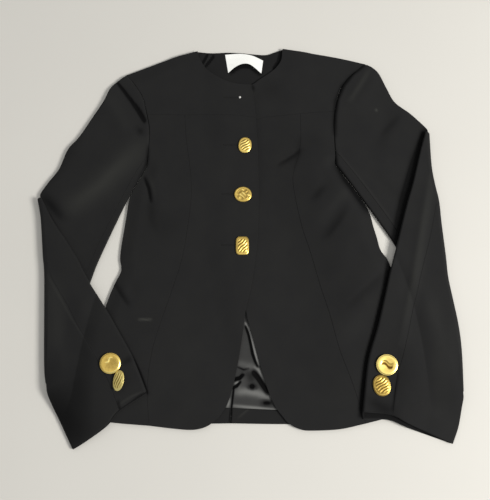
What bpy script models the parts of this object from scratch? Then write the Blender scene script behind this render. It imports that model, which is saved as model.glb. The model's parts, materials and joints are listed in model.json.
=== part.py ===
"""A short collarless blazer laid on its back, front up, with both sleeves folded over at the elbow.

Left and right are the wearer's. The wearer's right lies at -X, the neck towards +Y, and the underside at z = 0.
Every table below holds plan places in millimetres from the middle of the garment, read from top to bottom.
"""

import math

import bpy
import numpy as np

MM = 0.001

# Cloth walls and the gaps between them, in millimetres.
BACK_WALL = 1.6
FRONT_WALL = 1.8
SLEEVE_WALL = 1.5
THIN_WALL = 1.0
SEAM_GAP = 0.3
LAYER_GAP = 0.3
ARMHOLE_GAP = 0.75
SLEEVE_SEAM_GAP = 0.5
MOST_SLANT_GAP = 2.5

# How the fronts lie on the back: drawn down to it along the outline, full in the middle.
LOW_FRONT = BACK_WALL + LAYER_GAP
NECK_FRONT = BACK_WALL + 2 * LAYER_GAP + THIN_WALL + 0.4
FULL_FRONT = 4.6
OUTLINE_FALL = 22.0
NECK_MIDDLE_X = -10.0
NECK_HALF_WIDTH = 120.0
NECK_FADE = 20.0
NECK_LOWEST_Y = 200.0
LAP_STEP = FRONT_WALL + LAYER_GAP
LAP_RISE = 26.0
LAP_MARGIN = 10.0

# Steps down a front and a half back: along the armhole's yoke, along the rest of it, and down the side.
YOKE_ROWS = 4
ARM_ROWS = 4
SIDE_ROWS = 15

# The label stands off the facing in an arch.
LABEL_ARCH = 2.4
LABEL_ARCH_FALL = 0.8

# The sleeve is a flat tube, folded over once. The fold turns about a half cylinder.
TUBE_HALF = 3.2
FOLD_RADIUS = 3.6
REST_HEIGHT = 2 * FOLD_RADIUS
SAG_REACH = 48.0
SETTLE_STATIONS = 3
INSEAM = 0.88
UPPER_STATIONS = 9
FOLD_STATIONS = 4
FOREARM_STATIONS = 11
EDGE_ARC_STEPS = 4

# Corners shared by several edges.
SHOULDER_RIGHT = (-192, 267)
SHOULDER_LEFT = (191, 286)
NECK_RIGHT = (-78, 308)
NECK_LEFT = (58, 312)
YOKE_ARM_RIGHT = (-156, 201)
YOKE_ARM_LEFT = (139, 206)
YOKE_FRONT_RIGHT = (15, 195)
YOKE_FRONT_LEFT = (-22, 194)
YOKE_PRINCESS_RIGHT = (-97, 200)
YOKE_PRINCESS_LEFT = (85, 202)
UNDERARM_RIGHT = (-155, 116)
UNDERARM_LEFT = (139, 119)
HEM_SIDE_RIGHT = (-220, -269)
HEM_SIDE_LEFT = (222, -260)
HEM_PRINCESS_RIGHT = (-142, -276)
HEM_PRINCESS_LEFT = (174, -273)
CORNER_RIGHT = (-41, -265)
CORNER_LEFT = (54, -264)
LAP_NECK_RIGHT = (8, 250)
LAP_NECK_LEFT = (-22, 249)
BACK_NECK_MIDDLE = (-6, 306)
BACK_HEM_MIDDLE = (-23, -273)

EDGES = {
    # name: plan points along the edge
    "shoulder_right": (SHOULDER_RIGHT, (-157, 281), (-116, 297), NECK_RIGHT),
    "shoulder_left": (NECK_LEFT, (77, 309), (102, 305), (150, 296), SHOULDER_LEFT),
    "back_neck_right": (NECK_RIGHT, (-56, 306), (-30, 307), BACK_NECK_MIDDLE),
    "back_neck_left": (BACK_NECK_MIDDLE, (12, 304), (32, 303), (45, 307), NECK_LEFT),
    "front_neck_right": (NECK_RIGHT, (-75, 296), (-64, 278), (-49, 266), (-33, 257), (-17, 252), LAP_NECK_RIGHT),
    "front_neck_left": (LAP_NECK_LEFT, (-5, 248), (10, 251), (21, 259), (38, 271), (48, 280), (56, 293), NECK_LEFT),
    "arm_right_yoke": (SHOULDER_RIGHT, (-177, 251), (-163, 228), YOKE_ARM_RIGHT),
    "arm_right_side": (YOKE_ARM_RIGHT, (-152, 180), (-152, 150), UNDERARM_RIGHT),
    "arm_left_yoke": (SHOULDER_LEFT, (168, 268), (152, 249), (143, 224), YOKE_ARM_LEFT),
    "arm_left_side": (YOKE_ARM_LEFT, (137, 185), (138, 150), UNDERARM_LEFT),
    "side_right": (
        UNDERARM_RIGHT, (-167, 90), (-180, 63), (-184, 38), (-187.5, 14), (-191, -12), (-192, -30), (-190, -48),
        (-200, -70), (-212, -105), (-219, -152), (-222, -210), HEM_SIDE_RIGHT,
    ),
    "side_left": (
        UNDERARM_LEFT, (153.5, 96), (167, 77), (182, 54), (190.5, 38), (195, 21), (200, 3),
        (205, -16), (218, -38), (227, -92), (230, -152), (228, -210), HEM_SIDE_LEFT,
    ),
    "yoke_right_side": (YOKE_ARM_RIGHT, (-126, 200.5), YOKE_PRINCESS_RIGHT),
    "yoke_right_centre": (YOKE_PRINCESS_RIGHT, (-57, 200), (-20, 199), YOKE_FRONT_RIGHT),
    "yoke_left_centre": (YOKE_FRONT_LEFT, (17, 193), (29, 196), (56, 199), YOKE_PRINCESS_LEFT),
    "yoke_left_side": (YOKE_PRINCESS_LEFT, (112, 204.5), YOKE_ARM_LEFT),
    "princess_right": (
        YOKE_PRINCESS_RIGHT, (-94, 159), (-88, 118), (-85, 71), (-90, 20), (-98, -30), (-112, -77),
        (-128, -125), (-140, -168), (-146, -220), HEM_PRINCESS_RIGHT,
    ),
    "princess_left": (
        YOKE_PRINCESS_LEFT, (85, 160), (81, 133), (74, 110), (72, 89), (78, 51), (86, 16), (98, -22),
        (111, -70), (125, -115), (138, -165), (155, -212), HEM_PRINCESS_LEFT,
    ),
    "front_edge_yoke_right": (LAP_NECK_RIGHT, (12, 226), YOKE_FRONT_RIGHT),
    "front_edge_right": (
        YOKE_FRONT_RIGHT, (18, 143), (19, 70), (17, 0), (9, -62), (-1, -108), (-4, -133), (-9, -167),
        (-16, -204), (-27, -243), CORNER_RIGHT,
    ),
    "front_edge_yoke_left": (LAP_NECK_LEFT, (-22, 221), YOKE_FRONT_LEFT),
    "front_edge_left": (
        YOKE_FRONT_LEFT, (-22, 130), (-20, 60), (-15, -31), (-1, -107), (5, -133), (13, -160), (22, -194),
        (31, -223), (42, -248), CORNER_LEFT,
    ),
    "hem_right_side": (HEM_SIDE_RIGHT, (-182, -273), HEM_PRINCESS_RIGHT),
    "hem_right_centre": (HEM_PRINCESS_RIGHT, (-108, -280), (-82, -282), (-66, -280), (-54, -275), CORNER_RIGHT),
    "hem_left_centre": (CORNER_LEFT, (62, -273), (78, -281), (94, -283), (136, -281), HEM_PRINCESS_LEFT),
    "hem_left_side": (HEM_PRINCESS_LEFT, (202, -266), HEM_SIDE_LEFT),
    "centre_back": (BACK_NECK_MIDDLE, (-8, 150), (-12, 0), (-18, -150), BACK_HEM_MIDDLE),
    "back_hem_right": (HEM_SIDE_RIGHT, (-141, -273), (-70, -273.5), BACK_HEM_MIDDLE),
    "back_hem_left": (BACK_HEM_MIDDLE, (64, -274), (152, -271), HEM_SIDE_LEFT),
    "facing_top": (
        (-102, 300), (-78, 306), (-56, 304.5), (-30, 305), (12, 302.5), (32, 301.5), (45, 305), (58, 310),
        (82, 307),
    ),
    "facing_bottom": ((-98, 284), (-78, 258), (-44, 238), (-5, 228), (34, 237), (60, 258), (80, 288)),
    "label_top": ((-34, 303), (-10, 305), (9, 302), (27, 293)),
    "label_bottom": ((-29, 271), (-17, 281), (-5, 286), (7, 284), (24, 270)),
    "lining_top": ((-46, -84), (0, -86), (50, -84)),
    "lining_bottom": ((-66, -250), (-30, -250.5), (17, -252.5), (84, -255)),
    "hem_facing_top_right": ((-66, -250.8), (-23, -251.3)),
    "hem_facing_bottom_right": ((-70, -272.8), (-24.5, -272.8)),
    "hem_facing_top_left": ((-21.5, -251.4), (17, -253.3), (84, -255.8)),
    "hem_facing_bottom_left": ((-22.5, -272.8), (17, -273), (88, -272.5)),
}

SLEEVES = {
    # side: named plan lines of the flat tube's middle. The outer line starts at the shoulder, the inner line
    # at the underarm, and both end on the fold. The elbow line runs from the fold's top to the cuff's inner
    # corner, and the wrist line from the fold's foot to the cuff's outer corner. The armhole is the body's own.
    # outward points away from the body across the fold, cuff_step is how far the cuff's lower layer stands out,
    # and hindarm is the seam's place across the sleeve at the armhole and at the cuff.
    "right": {
        "outward": (-1.0, -0.05),
        "outer": (
            (-207, 255), (-217, 244), (-226, 224), (-241, 199), (-262, 165), (-279, 144),
            (-291, 113), (-304, 92), (-315, 65),
        ),
        "inner": ((-182, 66), (-223, -28), (-237, -68), (-264, -145), (-288, -217)),
        "fold": ((-315, 65), (-308, 32), (-302, -25), (-298, -60), (-292, -184), (-288, -217)),
        "elbow": (
            (-315, 65), (-296, 30), (-275, 0), (-256, -29), (-234, -69), (-210, -105), (-193, -133),
            (-171, -170), (-159, -196), (-146, -227),
        ),
        "wrist": ((-288, -217), (-279, -249), (-266, -280), (-252, -310)),
        "cuff": ((-146, -227), (-186, -254), (-203, -275), (-232, -297), (-252, -310)),
        "cuff_step": 3.0,
        "hindarm": (0.38, 0.34),
    },
    "left": {
        "outward": (1.0, -0.12),
        "outer": (
            (202, 280), (212, 269), (223, 245), (235, 222), (258, 204), (276, 186), (280, 171),
        ),
        "inner": ((163, 87), (194, 42), (228, -10), (262, -74), (289, -144), (312, -228)),
        "fold": (
            (280, 171), (281, 118), (285, 87), (290, 60), (292, 26), (296, -25), (298, -58), (304, -94),
            (310, -132), (312.5, -170), (312, -228),
        ),
        "elbow": (
            (280, 171), (271, 142), (258, 93), (246, 55), (234, 13), (226, -17), (218, -44), (207, -87),
            (195, -132), (180, -179), (172, -232), (169, -256),
        ),
        "wrist": ((312, -228), (308, -260), (300, -302)),
        "cuff": ((169, -256), (208, -260), (235, -273), (268, -288), (300, -302)),
        "cuff_step": 11.0,
        "hindarm": (0.28, 0.31),
    },
}

FRONT_FOLDS = (
    # x1, y1, x2, y2, height (a trough is below zero), half width, all in millimetres
    (-154, 101, -149, 52, -1.3, 9.0),
    (-139, 98, -134, 45, 0.9, 12.0),
    (-176, -62, -168, -95, -1.0, 9.0),
    (55, 130, 82, 142, -1.1, 9.0),
    (152, 42, 112, 4, -1.2, 13.0),
    (166, 60, 128, 22, 1.2, 13.0),
    (120, 112, 124, 76, -1.0, 10.0),
    (186, -60, 150, -104, 0.9, 16.0),
    (-70, 120, -76, 40, 1.2, 38.0),
    (78, 120, 86, 40, 1.2, 38.0),
)

ARM_FOLDS = {
    "right": ((-206, 252, -164, 190, -2.0, 9.0), (-222, 236, -186, 176, 1.2, 13.0), (-174, 149, -250, 64, 1.4, 15.0)),
    "left": ((206, 262, 176, 222, 1.2, 12.0), (232, 206, 206, 148, -1.0, 13.0), (196, 108, 240, 60, -1.0, 11.0)),
}

FOREARM_FOLDS = {
    "right": ((-290, -20, -240, -120, 0.9, 12.0), (-262, -190, -232, -250, -0.8, 13.0)),
    "left": ((281, 90, 265, 12, 1.0, 9.0), (265, 12, 236, -150, 1.3, 9.0), (290, -60, 276, -210, -0.8, 15.0)),
}

LINING_FOLDS = (
    (2, -190, -14, -221, 1.6, 7.0),
    (2, -194, 30, -229, 1.3, 7.0),
    (8, -140, 18, -190, 0.9, 7.0),
    (-18, -204, -4, -222, -0.3, 5.0),
)

WAVE, HAMMERED, DISHED = "wave", "hammered", "dished"

BUTTONS = {
    # name: kind, x, y, half width, half height, outline power (2 is an ellipse), turn, tip, in millimetres and
    # degrees. The tip turns the button about its own long axis.
    "front_button_upper": (WAVE, -2, 149, 10.0, 12.4, 2.2, -8, 0),
    "front_button_middle": (HAMMERED, -5, 70, 13.2, 11.9, 2.0, 0, 0),
    "front_button_lower": (WAVE, -6.0, -10.2, 9.8, 14.0, 4.2, 0, 0),
    "cuff_button_round_right": (DISHED, -199.3, -186.4, 15.4, 15.1, 2.0, 0, 0),
    "cuff_button_oval_right": (WAVE, -185.1, -211.2, 9.9, 14.8, 2.2, -8, -30),
    "cuff_button_round_left": (DISHED, 206, -188.5, 15.6, 15.2, 2.0, 0, 0),
    "cuff_button_oval_left": (WAVE, 197.4, -218.2, 12.5, 15.2, 2.2, 8, 8),
}
BUTTON_EDGE = 2.2
BUTTON_DOME = 1.4
BUTTON_WAVE = 0.6
BUTTON_WAVES_EVERY = 5.2
BUTTON_WAVE_RISE = 0.65
BUTTON_SIDES = 20
BUTTON_RINGS = (0.28, 0.5, 0.7, 0.86, 0.96, 1.0)

THREAD = {"x": -10.0, "y": 228.0, "radius": 2.0, "height": 1.2}

FINISHES = {
    # name: linear red, green and blue, roughness, metallic
    "black_crepe": (0.013, 0.013, 0.015, 0.85, 0.0),
    "black_satin": (0.02, 0.02, 0.022, 0.32, 0.0),
    "white_satin": (0.76, 0.76, 0.75, 0.4, 0.0),
    "gilt_metal": (0.83, 0.6, 0.25, 0.3, 1.0),
}


def clear_scene():
    """Removes what the startup file holds."""
    for found in list(bpy.data.objects):
        bpy.data.objects.remove(found, do_unlink=True)


def finish(name):
    """The Principled material of one finish, made once."""
    if name in bpy.data.materials:
        return bpy.data.materials[name]
    red, green, blue, roughness, metallic = FINISHES[name]
    material = bpy.data.materials.new(name)
    material.use_nodes = True
    shader = material.node_tree.nodes["Principled BSDF"]
    shader.inputs["Base Color"].default_value = (red, green, blue, 1.0)
    shader.inputs["Roughness"].default_value = roughness
    shader.inputs["Metallic"].default_value = metallic
    return material


def smooth_curve(points, count):
    """count + 1 points, evenly spaced, on a Catmull-Rom curve through the given ones."""
    given = np.asarray(points, float)
    ends = 2 * given[[0, -1]] - given[[1, -2]]
    held = np.vstack([ends[:1], given, ends[1:]])
    fine = []
    for a, b, c, d in zip(held[:-3], held[1:-2], held[2:-1], held[3:]):
        for t in np.linspace(0, 1, 12, endpoint=False):
            fine.append(
                0.5 * (2 * b + (c - a) * t + (2 * a - 5 * b + 4 * c - d) * t**2 + (3 * b - 3 * c + d - a) * t**3)
            )
    fine = np.array(fine + [given[-1]])
    along = np.concatenate([[0], np.cumsum(np.linalg.norm(np.diff(fine, axis=0), axis=1))])
    wanted = np.linspace(0, along[-1], count + 1)
    return np.stack([np.interp(wanted, along, fine[:, axis]) for axis in range(fine.shape[1])], 1)


def edge(*names_and_counts):
    """The named edges joined end to end, each with its own count of steps: edge("a", 4, "b", 6)."""
    names, counts = names_and_counts[::2], names_and_counts[1::2]
    runs = [smooth_curve(EDGES[name], count) for name, count in zip(names, counts)]
    return np.vstack([runs[0]] + [run[1:] for run in runs[1:]])


def straight(start, end, count):
    """count + 1 points on the straight line between two points."""
    return np.linspace(np.asarray(start, float), np.asarray(end, float), count + 1)


def patch(top, bottom, left, right):
    """Plan points [row, column] that fill the space between four edges, as a Coons patch."""
    u = np.linspace(0, 1, len(top))[None, :, None]
    v = np.linspace(0, 1, len(left))[:, None, None]
    across = (1 - u) * left[:, None] + u * right[:, None]
    down = (1 - v) * top[None] + v * bottom[None]
    corners = (1 - v) * ((1 - u) * top[0] + u * top[-1]) + v * ((1 - u) * bottom[0] + u * bottom[-1])
    return across + down - corners


def drawn_in(grid, top=0.0, bottom=0.0, left=0.0, right=0.0):
    """The patch with its edges moved inwards in plan, each by its own distance."""
    moved = grid.copy()
    middle = grid.mean(axis=(0, 1))
    for amount, line in (
        (top, np.s_[0, :]), (bottom, np.s_[-1, :]), (left, np.s_[:, 0]), (right, np.s_[:, -1]),
    ):
        run = grid[line]
        along = np.gradient(run, axis=0)
        normal = np.stack([-along[:, 1], along[:, 0]], 1) / np.linalg.norm(along, axis=1)[:, None]
        inward = np.sign(((middle - run.mean(axis=0)) * normal.mean(axis=0)).sum())
        moved[line] += inward * amount * normal
    return moved


def smoothstep(share):
    share = np.clip(share, 0, 1)
    return share * share * (3 - 2 * share)


def distance_to_lines(places, starts, ends):
    """The distance in plan from each place to the nearest of some straight stretches."""
    way = ends - starts
    offset = places[..., None, :] - starts
    share = np.clip((offset * way).sum(-1) / (way * way).sum(-1), 0, 1)
    return np.linalg.norm(offset - share[..., None] * way, axis=-1).min(-1)


def inside(places, outline):
    """True for each place within a closed outline."""
    x, y = places[..., 0], places[..., 1]
    found = np.zeros(x.shape, bool)
    for (x1, y1), (x2, y2) in zip(outline, np.roll(outline, -1, axis=0)):
        crosses = (y1 > y) != (y2 > y)
        rise = np.where(crosses, (x2 - x1) * (y - y1) / (y2 - y1 + 1e-12) + x1, 0)
        found ^= crosses & (x < rise)
    return found


def folds(places, table):
    """The height that soft ridges and troughs add at each place."""
    total = np.zeros(places.shape[:-1])
    for x1, y1, x2, y2, height, half_width in table:
        away = distance_to_lines(places, np.array([[x1, y1]], float), np.array([[x2, y2]], float))
        total += height * np.exp(-((away / half_width) ** 2))
    return total


def outline_lines():
    """The stretches of the sides and shoulders, where the fronts come down to the back."""
    runs = [smooth_curve(EDGES[name], 24) for name in ("side_right", "side_left", "shoulder_right", "shoulder_left")]
    return np.vstack([run[:-1] for run in runs]), np.vstack([run[1:] for run in runs])


def body_outline():
    """The closed outline of the body, without the sleeves."""
    down = edge("shoulder_right", 6, "back_neck_right", 4, "back_neck_left", 4, "shoulder_left", 6)
    left = edge("arm_left_yoke", 4, "arm_left_side", 4, "side_left", 16)[1:]
    across = edge("back_hem_right", 6, "back_hem_left", 6)[::-1][1:]
    right = edge("arm_right_yoke", 4, "arm_right_side", 4, "side_right", 16)[::-1][1:-1]
    return np.vstack([down, left, across, right])


def front_height(places):
    """The height of the fronts' lower face over the back."""
    away = distance_to_lines(places, *outline_lines())
    from_middle = np.abs(places[..., 0] - NECK_MIDDLE_X)
    near_neck = smoothstep((NECK_HALF_WIDTH - from_middle) / NECK_FADE) * (places[..., 1] > NECK_LOWEST_Y)
    low = LOW_FRONT + (NECK_FRONT - LOW_FRONT) * near_neck
    share = smoothstep(away / OUTLINE_FALL)
    return low + (FULL_FRONT - low) * share + share * folds(places, FRONT_FOLDS)


def lapped_height(places):
    """The height of the right front, which rises to lie over the left one at the middle."""
    under = smooth_curve(EDGES["front_edge_left"], 60)
    edge_x = np.interp(-places[..., 1], -under[:, 1], under[:, 0])
    rise = smoothstep((places[..., 0] - edge_x + LAP_MARGIN + LAP_RISE) / LAP_RISE)
    return front_height(places) + LAP_STEP * rise


def raised(grid, height):
    """The patch as points in space."""
    return np.concatenate([grid, height[..., None]], axis=-1)


def cloth(name, rows, wall, material, outward=1.0):
    """One piece of cloth: an open surface of rows of points, made a wall by Solidify.

    With outward at 1 the rows are the wall's inner or lower face, and at -1 its outer one.
    """
    count, across = rows.shape[:2]
    faces = [
        (k * across + j, (k + 1) * across + j, (k + 1) * across + j + 1, k * across + j + 1)
        for k in range(count - 1)
        for j in range(across - 1)
    ]
    mesh = bpy.data.meshes.new(name)
    mesh.from_pydata((rows.reshape(-1, 3) * MM).tolist(), [], faces)
    mesh.shade_smooth()
    mesh.set_sharp_from_angle(angle=math.radians(50))
    made = bpy.data.objects.new(name, mesh)
    bpy.data.collections["blazer"].objects.link(made)
    made.data.materials.append(finish(material))
    solidify = made.modifiers.new("wall", "SOLIDIFY")
    solidify.thickness = wall * MM
    solidify.offset = outward
    solidify.use_even_offset = True
    return made


def build_backs():
    """The two halves of the back, flat on the surface, with the seam between them."""
    half = SEAM_GAP / 2
    middle = edge("centre_back", YOKE_ROWS + ARM_ROWS + SIDE_ROWS)
    for side, top, hem in (
        ("right", ("shoulder_right", 5, "back_neck_right", 3), "back_hem_right"),
        ("left", ("back_neck_left", 3, "shoulder_left", 5), "back_hem_left"),
    ):
        outer = edge(f"arm_{side}_yoke", YOKE_ROWS, f"arm_{side}_side", ARM_ROWS, f"side_{side}", SIDE_ROWS)
        lines = (outer, middle) if side == "right" else (middle, outer)
        grid = patch(edge(*top), edge(hem, 8), *lines)
        grid = drawn_in(grid, left=half, right=half)
        cloth(f"back_{side}", raised(grid, np.zeros(grid.shape[:2])), BACK_WALL, "black_crepe")


def build_inside():
    """What shows inside: the neck facing with its label, and in the front opening the lining and hem."""
    base = BACK_WALL + LAYER_GAP
    facing = patch(
        edge("facing_top", 12),
        edge("facing_bottom", 12),
        straight(EDGES["facing_top"][0], EDGES["facing_bottom"][0], 3),
        straight(EDGES["facing_top"][-1], EDGES["facing_bottom"][-1], 3),
    )
    cloth("back_neck_facing", raised(facing, np.full(facing.shape[:2], base)), THIN_WALL, "black_crepe")

    label = patch(
        edge("label_top", 8),
        edge("label_bottom", 8),
        straight(EDGES["label_top"][0], EDGES["label_bottom"][0], 4),
        straight(EDGES["label_top"][-1], EDGES["label_bottom"][-1], 4),
    )
    down = np.linspace(0, 1, label.shape[0])[:, None]
    across = np.linspace(-1, 1, label.shape[1])[None, :]
    lift = base + THIN_WALL + LAYER_GAP + LABEL_ARCH * down * (1 - LABEL_ARCH_FALL * across**2)
    cloth("label", raised(label, lift), THIN_WALL, "white_satin")

    lining = patch(
        edge("lining_top", 12),
        edge("lining_bottom", 12),
        straight(EDGES["lining_top"][0], EDGES["lining_bottom"][0], 12),
        straight(EDGES["lining_top"][-1], EDGES["lining_bottom"][-1], 12),
    )
    rise = np.maximum(folds(lining, LINING_FOLDS), 0)
    cloth("back_lining", raised(lining, base + rise), THIN_WALL, "black_satin")

    for side, count in (("right", 3), ("left", 6)):
        top, bottom = EDGES[f"hem_facing_top_{side}"], EDGES[f"hem_facing_bottom_{side}"]
        strip = patch(
            edge(f"hem_facing_top_{side}", count),
            edge(f"hem_facing_bottom_{side}", count),
            straight(top[0], bottom[0], 2),
            straight(top[-1], bottom[-1], 2),
        )
        cloth(f"back_hem_facing_{side}", raised(strip, np.full(strip.shape[:2], base)), THIN_WALL, "black_crepe")


def build_fronts():
    """The yokes, centre fronts and side fronts, the right ones lapped over the left ones."""
    half = SEAM_GAP / 2
    centre_rows = ARM_ROWS + SIDE_ROWS

    yoke = patch(
        edge("shoulder_right", 5, "front_neck_right", 6),
        edge("yoke_right_side", 5, "yoke_right_centre", 6),
        edge("arm_right_yoke", YOKE_ROWS),
        edge("front_edge_yoke_right", YOKE_ROWS),
    )
    yoke = drawn_in(yoke, bottom=half, left=half)
    cloth("yoke_right", raised(yoke, lapped_height(yoke)), FRONT_WALL, "black_crepe")

    yoke = patch(
        edge("front_neck_left", 6, "shoulder_left", 5),
        edge("yoke_left_centre", 6, "yoke_left_side", 5),
        edge("front_edge_yoke_left", YOKE_ROWS),
        edge("arm_left_yoke", YOKE_ROWS),
    )
    yoke = drawn_in(yoke, bottom=half, right=half)
    cloth("yoke_left", raised(yoke, front_height(yoke)), FRONT_WALL, "black_crepe")

    centre = patch(
        edge("yoke_right_centre", 6),
        edge("hem_right_centre", 6),
        edge("princess_right", centre_rows),
        edge("front_edge_right", centre_rows),
    )
    centre = drawn_in(centre, top=half, left=half)
    cloth("front_centre_right", raised(centre, lapped_height(centre)), FRONT_WALL, "black_crepe")

    centre = patch(
        edge("yoke_left_centre", 6),
        edge("hem_left_centre", 6),
        edge("front_edge_left", centre_rows),
        edge("princess_left", centre_rows),
    )
    centre = drawn_in(centre, top=half, right=half)
    cloth("front_centre_left", raised(centre, front_height(centre)), FRONT_WALL, "black_crepe")

    side = patch(
        edge("yoke_right_side", 5),
        edge("hem_right_side", 5),
        edge("arm_right_side", ARM_ROWS, "side_right", SIDE_ROWS),
        edge("princess_right", centre_rows),
    )
    side = drawn_in(side, top=half, left=half, right=half)
    cloth("front_side_right", raised(side, lapped_height(side)), FRONT_WALL, "black_crepe")

    side = patch(
        edge("yoke_left_side", 5),
        edge("hem_left_side", 5),
        edge("princess_left", centre_rows),
        edge("arm_left_side", ARM_ROWS, "side_left", SIDE_ROWS),
    )
    side = drawn_in(side, top=half, left=half, right=half)
    cloth("front_side_left", raised(side, front_height(side)), FRONT_WALL, "black_crepe")


class Sleeve:
    """One sleeve: a flattened tube through stations, folded over a half cylinder at the elbow."""

    def __init__(self, side):
        self.side = side
        self.lines = SLEEVES[side]
        self.outward = np.array(self.lines["outward"]) / np.linalg.norm(self.lines["outward"])
        self.support = (body_outline(), self.upper_outline())
        self.stations = self.all_stations()

    def line(self, name, count):
        """A named line of the sleeve. The outer and inner lines start at the ends of the armhole."""
        points = self.lines[name]
        if name in ("outer", "inner"):
            points = (self.armhole(1)[0 if name == "outer" else -1], *points)
        return smooth_curve(points, count)

    def armhole(self, count):
        """The body's armhole, moved out by the gap that the chords of both meshes need."""
        body = edge(f"arm_{self.side}_yoke", 24, f"arm_{self.side}_side", 24)
        along = np.gradient(body, axis=0)
        normal = np.stack([along[:, 1], -along[:, 0]], 1) / np.linalg.norm(along, axis=1)[:, None]
        away = 1 if self.side == "right" else -1
        return smooth_curve(body[::4] + away * ARMHOLE_GAP * normal[::4], count)

    def upper_outline(self):
        """The closed plan outline of the upper arm, which the forearm lies on."""
        over = (self.armhole(8)[::-1], self.line("outer", 12)[1:], self.line("fold", 8)[1:])
        return np.vstack([*over, self.line("inner", 12)[::-1][1:-1]])

    def rest(self, places):
        """The height of the forearm's lower face, which sags to the surface away from what is under it."""
        away = np.full(places.shape[:-1], np.inf)
        for outline in self.support:
            gap = distance_to_lines(places, outline, np.roll(outline, -1, axis=0))
            away = np.minimum(away, np.where(inside(places, outline), 0, gap))
        return REST_HEIGHT * (1 - smoothstep(away / SAG_REACH))

    def all_stations(self):
        """(plan points across, heights of the middle, turn of the fold) for each station, shoulder to cuff."""
        fine = 48
        upper = patch(
            self.armhole(fine),
            self.line("fold", fine),
            self.line("outer", UPPER_STATIONS),
            self.line("inner", UPPER_STATIONS),
        )
        fore = patch(
            self.line("fold", fine),
            self.line("cuff", fine),
            self.line("elbow", FOREARM_STATIONS),
            self.line("wrist", FOREARM_STATIONS),
        )
        flat = np.full(fine + 1, TUBE_HALF)
        found = [(row, flat, 0.0) for row in upper]
        for k in range(1, FOLD_STATIONS):
            turn = math.pi * k / FOLD_STATIONS
            bent = upper[-1] + FOLD_RADIUS * math.sin(turn) * self.outward
            found.append((bent, flat + FOLD_RADIUS * (1 - math.cos(turn)), turn))
        for k, row in enumerate(fore):
            settled = smoothstep(k / SETTLE_STATIONS)
            found.append((row, flat + REST_HEIGHT * (1 - settled) + self.rest(row) * settled, math.pi))
        return found

    def ring(self, number, spots):
        """Points of one station. A spot is (share of the way across, millimetres on from there, face)."""
        row, middle, turn = self.stations[number]
        across = np.linspace(0, 1, len(row))
        width = np.linalg.norm(row[-1] - row[0])
        normal = np.array([*(-math.sin(turn) * self.outward), math.cos(turn)])
        down = self.stations[-1][0].mean(axis=0) - self.stations[-2][0].mean(axis=0)
        step = self.lines["cuff_step"] * down / np.linalg.norm(down)
        points = []
        for share, further, face in spots:
            along = np.clip(share + further / width, 0, 1)
            place = [np.interp(along, across, row[:, axis]) for axis in (0, 1)]
            inset = min(1.0, min(along, 1 - along) * width / TUBE_HALF)
            bulge = TUBE_HALF * math.sqrt(1 - (1 - inset) ** 2)
            point = np.array([*place, np.interp(along, across, middle)]) + face * bulge * normal
            if number == len(self.stations) - 1 and face > 0:
                point[:2] += (1 - along) * step
            if turn in (0.0, math.pi) and face == (1 if turn == 0.0 else -1):
                table = (ARM_FOLDS if turn == 0.0 else FOREARM_FOLDS)[self.side]
                point[2] += inset * folds(point[:2], table)
            points.append(point)
        return points

    def rounded(self, share, first_face):
        """The spots round one rounded edge of the tube."""
        inward = 1 if share == 0 else -1
        spots = []
        for k in range(EDGE_ARC_STEPS + 1):
            further = inward * TUBE_HALF * (1 - math.sin(math.pi * k / EDGE_ARC_STEPS))
            spots.append((share, further, first_face if k <= EDGE_ARC_STEPS // 2 else -first_face))
        return spots

    def across(self, face, start, end, count, shift):
        """Evenly spaced spots on one face, the first of them moved by shift millimetres."""
        shares = np.linspace(start, end, count + 1)[:-1]
        return [(share, shift if k == 0 else 0.0, face) for k, share in enumerate(shares)]

    def half_gaps(self, shares):
        """Half the gap along each station that leaves SLEEVE_SEAM_GAP square to a seam at these shares."""
        seam, ways = [], []
        for share, (row, middle, _) in zip(shares, self.stations):
            across = np.linspace(0, 1, len(row))
            seam.append([np.interp(share, across, values) for values in (row[:, 0], row[:, 1], middle)])
            ways.append([*(row[-1] - row[0]), 0])
        steps = np.diff(np.array(seam), axis=0)
        steps /= np.linalg.norm(steps, axis=1)[:, None]
        ways = np.array(ways) / np.linalg.norm(ways, axis=1)[:, None]
        before = np.linalg.norm(np.cross(steps, ways[1:]), axis=1)
        after = np.linalg.norm(np.cross(steps, ways[:-1]), axis=1)
        slant = np.minimum(np.append(after, 1), np.insert(before, 0, 1))
        return np.minimum(SLEEVE_SEAM_GAP / slant, MOST_SLANT_GAP) / 2

    def build(self):
        """The top sleeve, round the elbow edge, and the under sleeve, round the wrist edge."""
        count = len(self.stations)
        hindarm = np.linspace(*self.lines["hindarm"], count)
        inseam = np.full(count, INSEAM)
        gaps = zip(self.half_gaps(hindarm), self.half_gaps(inseam))
        top, under = [], []
        for number, (hind_gap, in_gap) in enumerate(gaps):
            hind = hindarm[number]
            spots = self.across(-1, hind, 0.03, 4, -hind_gap) + self.rounded(0, -1)
            spots += self.across(1, INSEAM, 0.03, 8, -in_gap)[::-1]
            top.append(self.ring(number, spots))
            spots = self.across(1, INSEAM, 0.97, 2, in_gap) + self.rounded(1, 1)
            spots += self.across(-1, hind, 0.97, 7, hind_gap)[::-1]
            under.append(self.ring(number, spots))
        for name, rows in (("top", top), ("under", under)):
            rows = np.array(rows)
            rows = rows if self.side == "right" else rows[:, ::-1]
            cloth(f"sleeve_{name}_{self.side}", rows, SLEEVE_WALL, "black_crepe", outward=-1.0)


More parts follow.
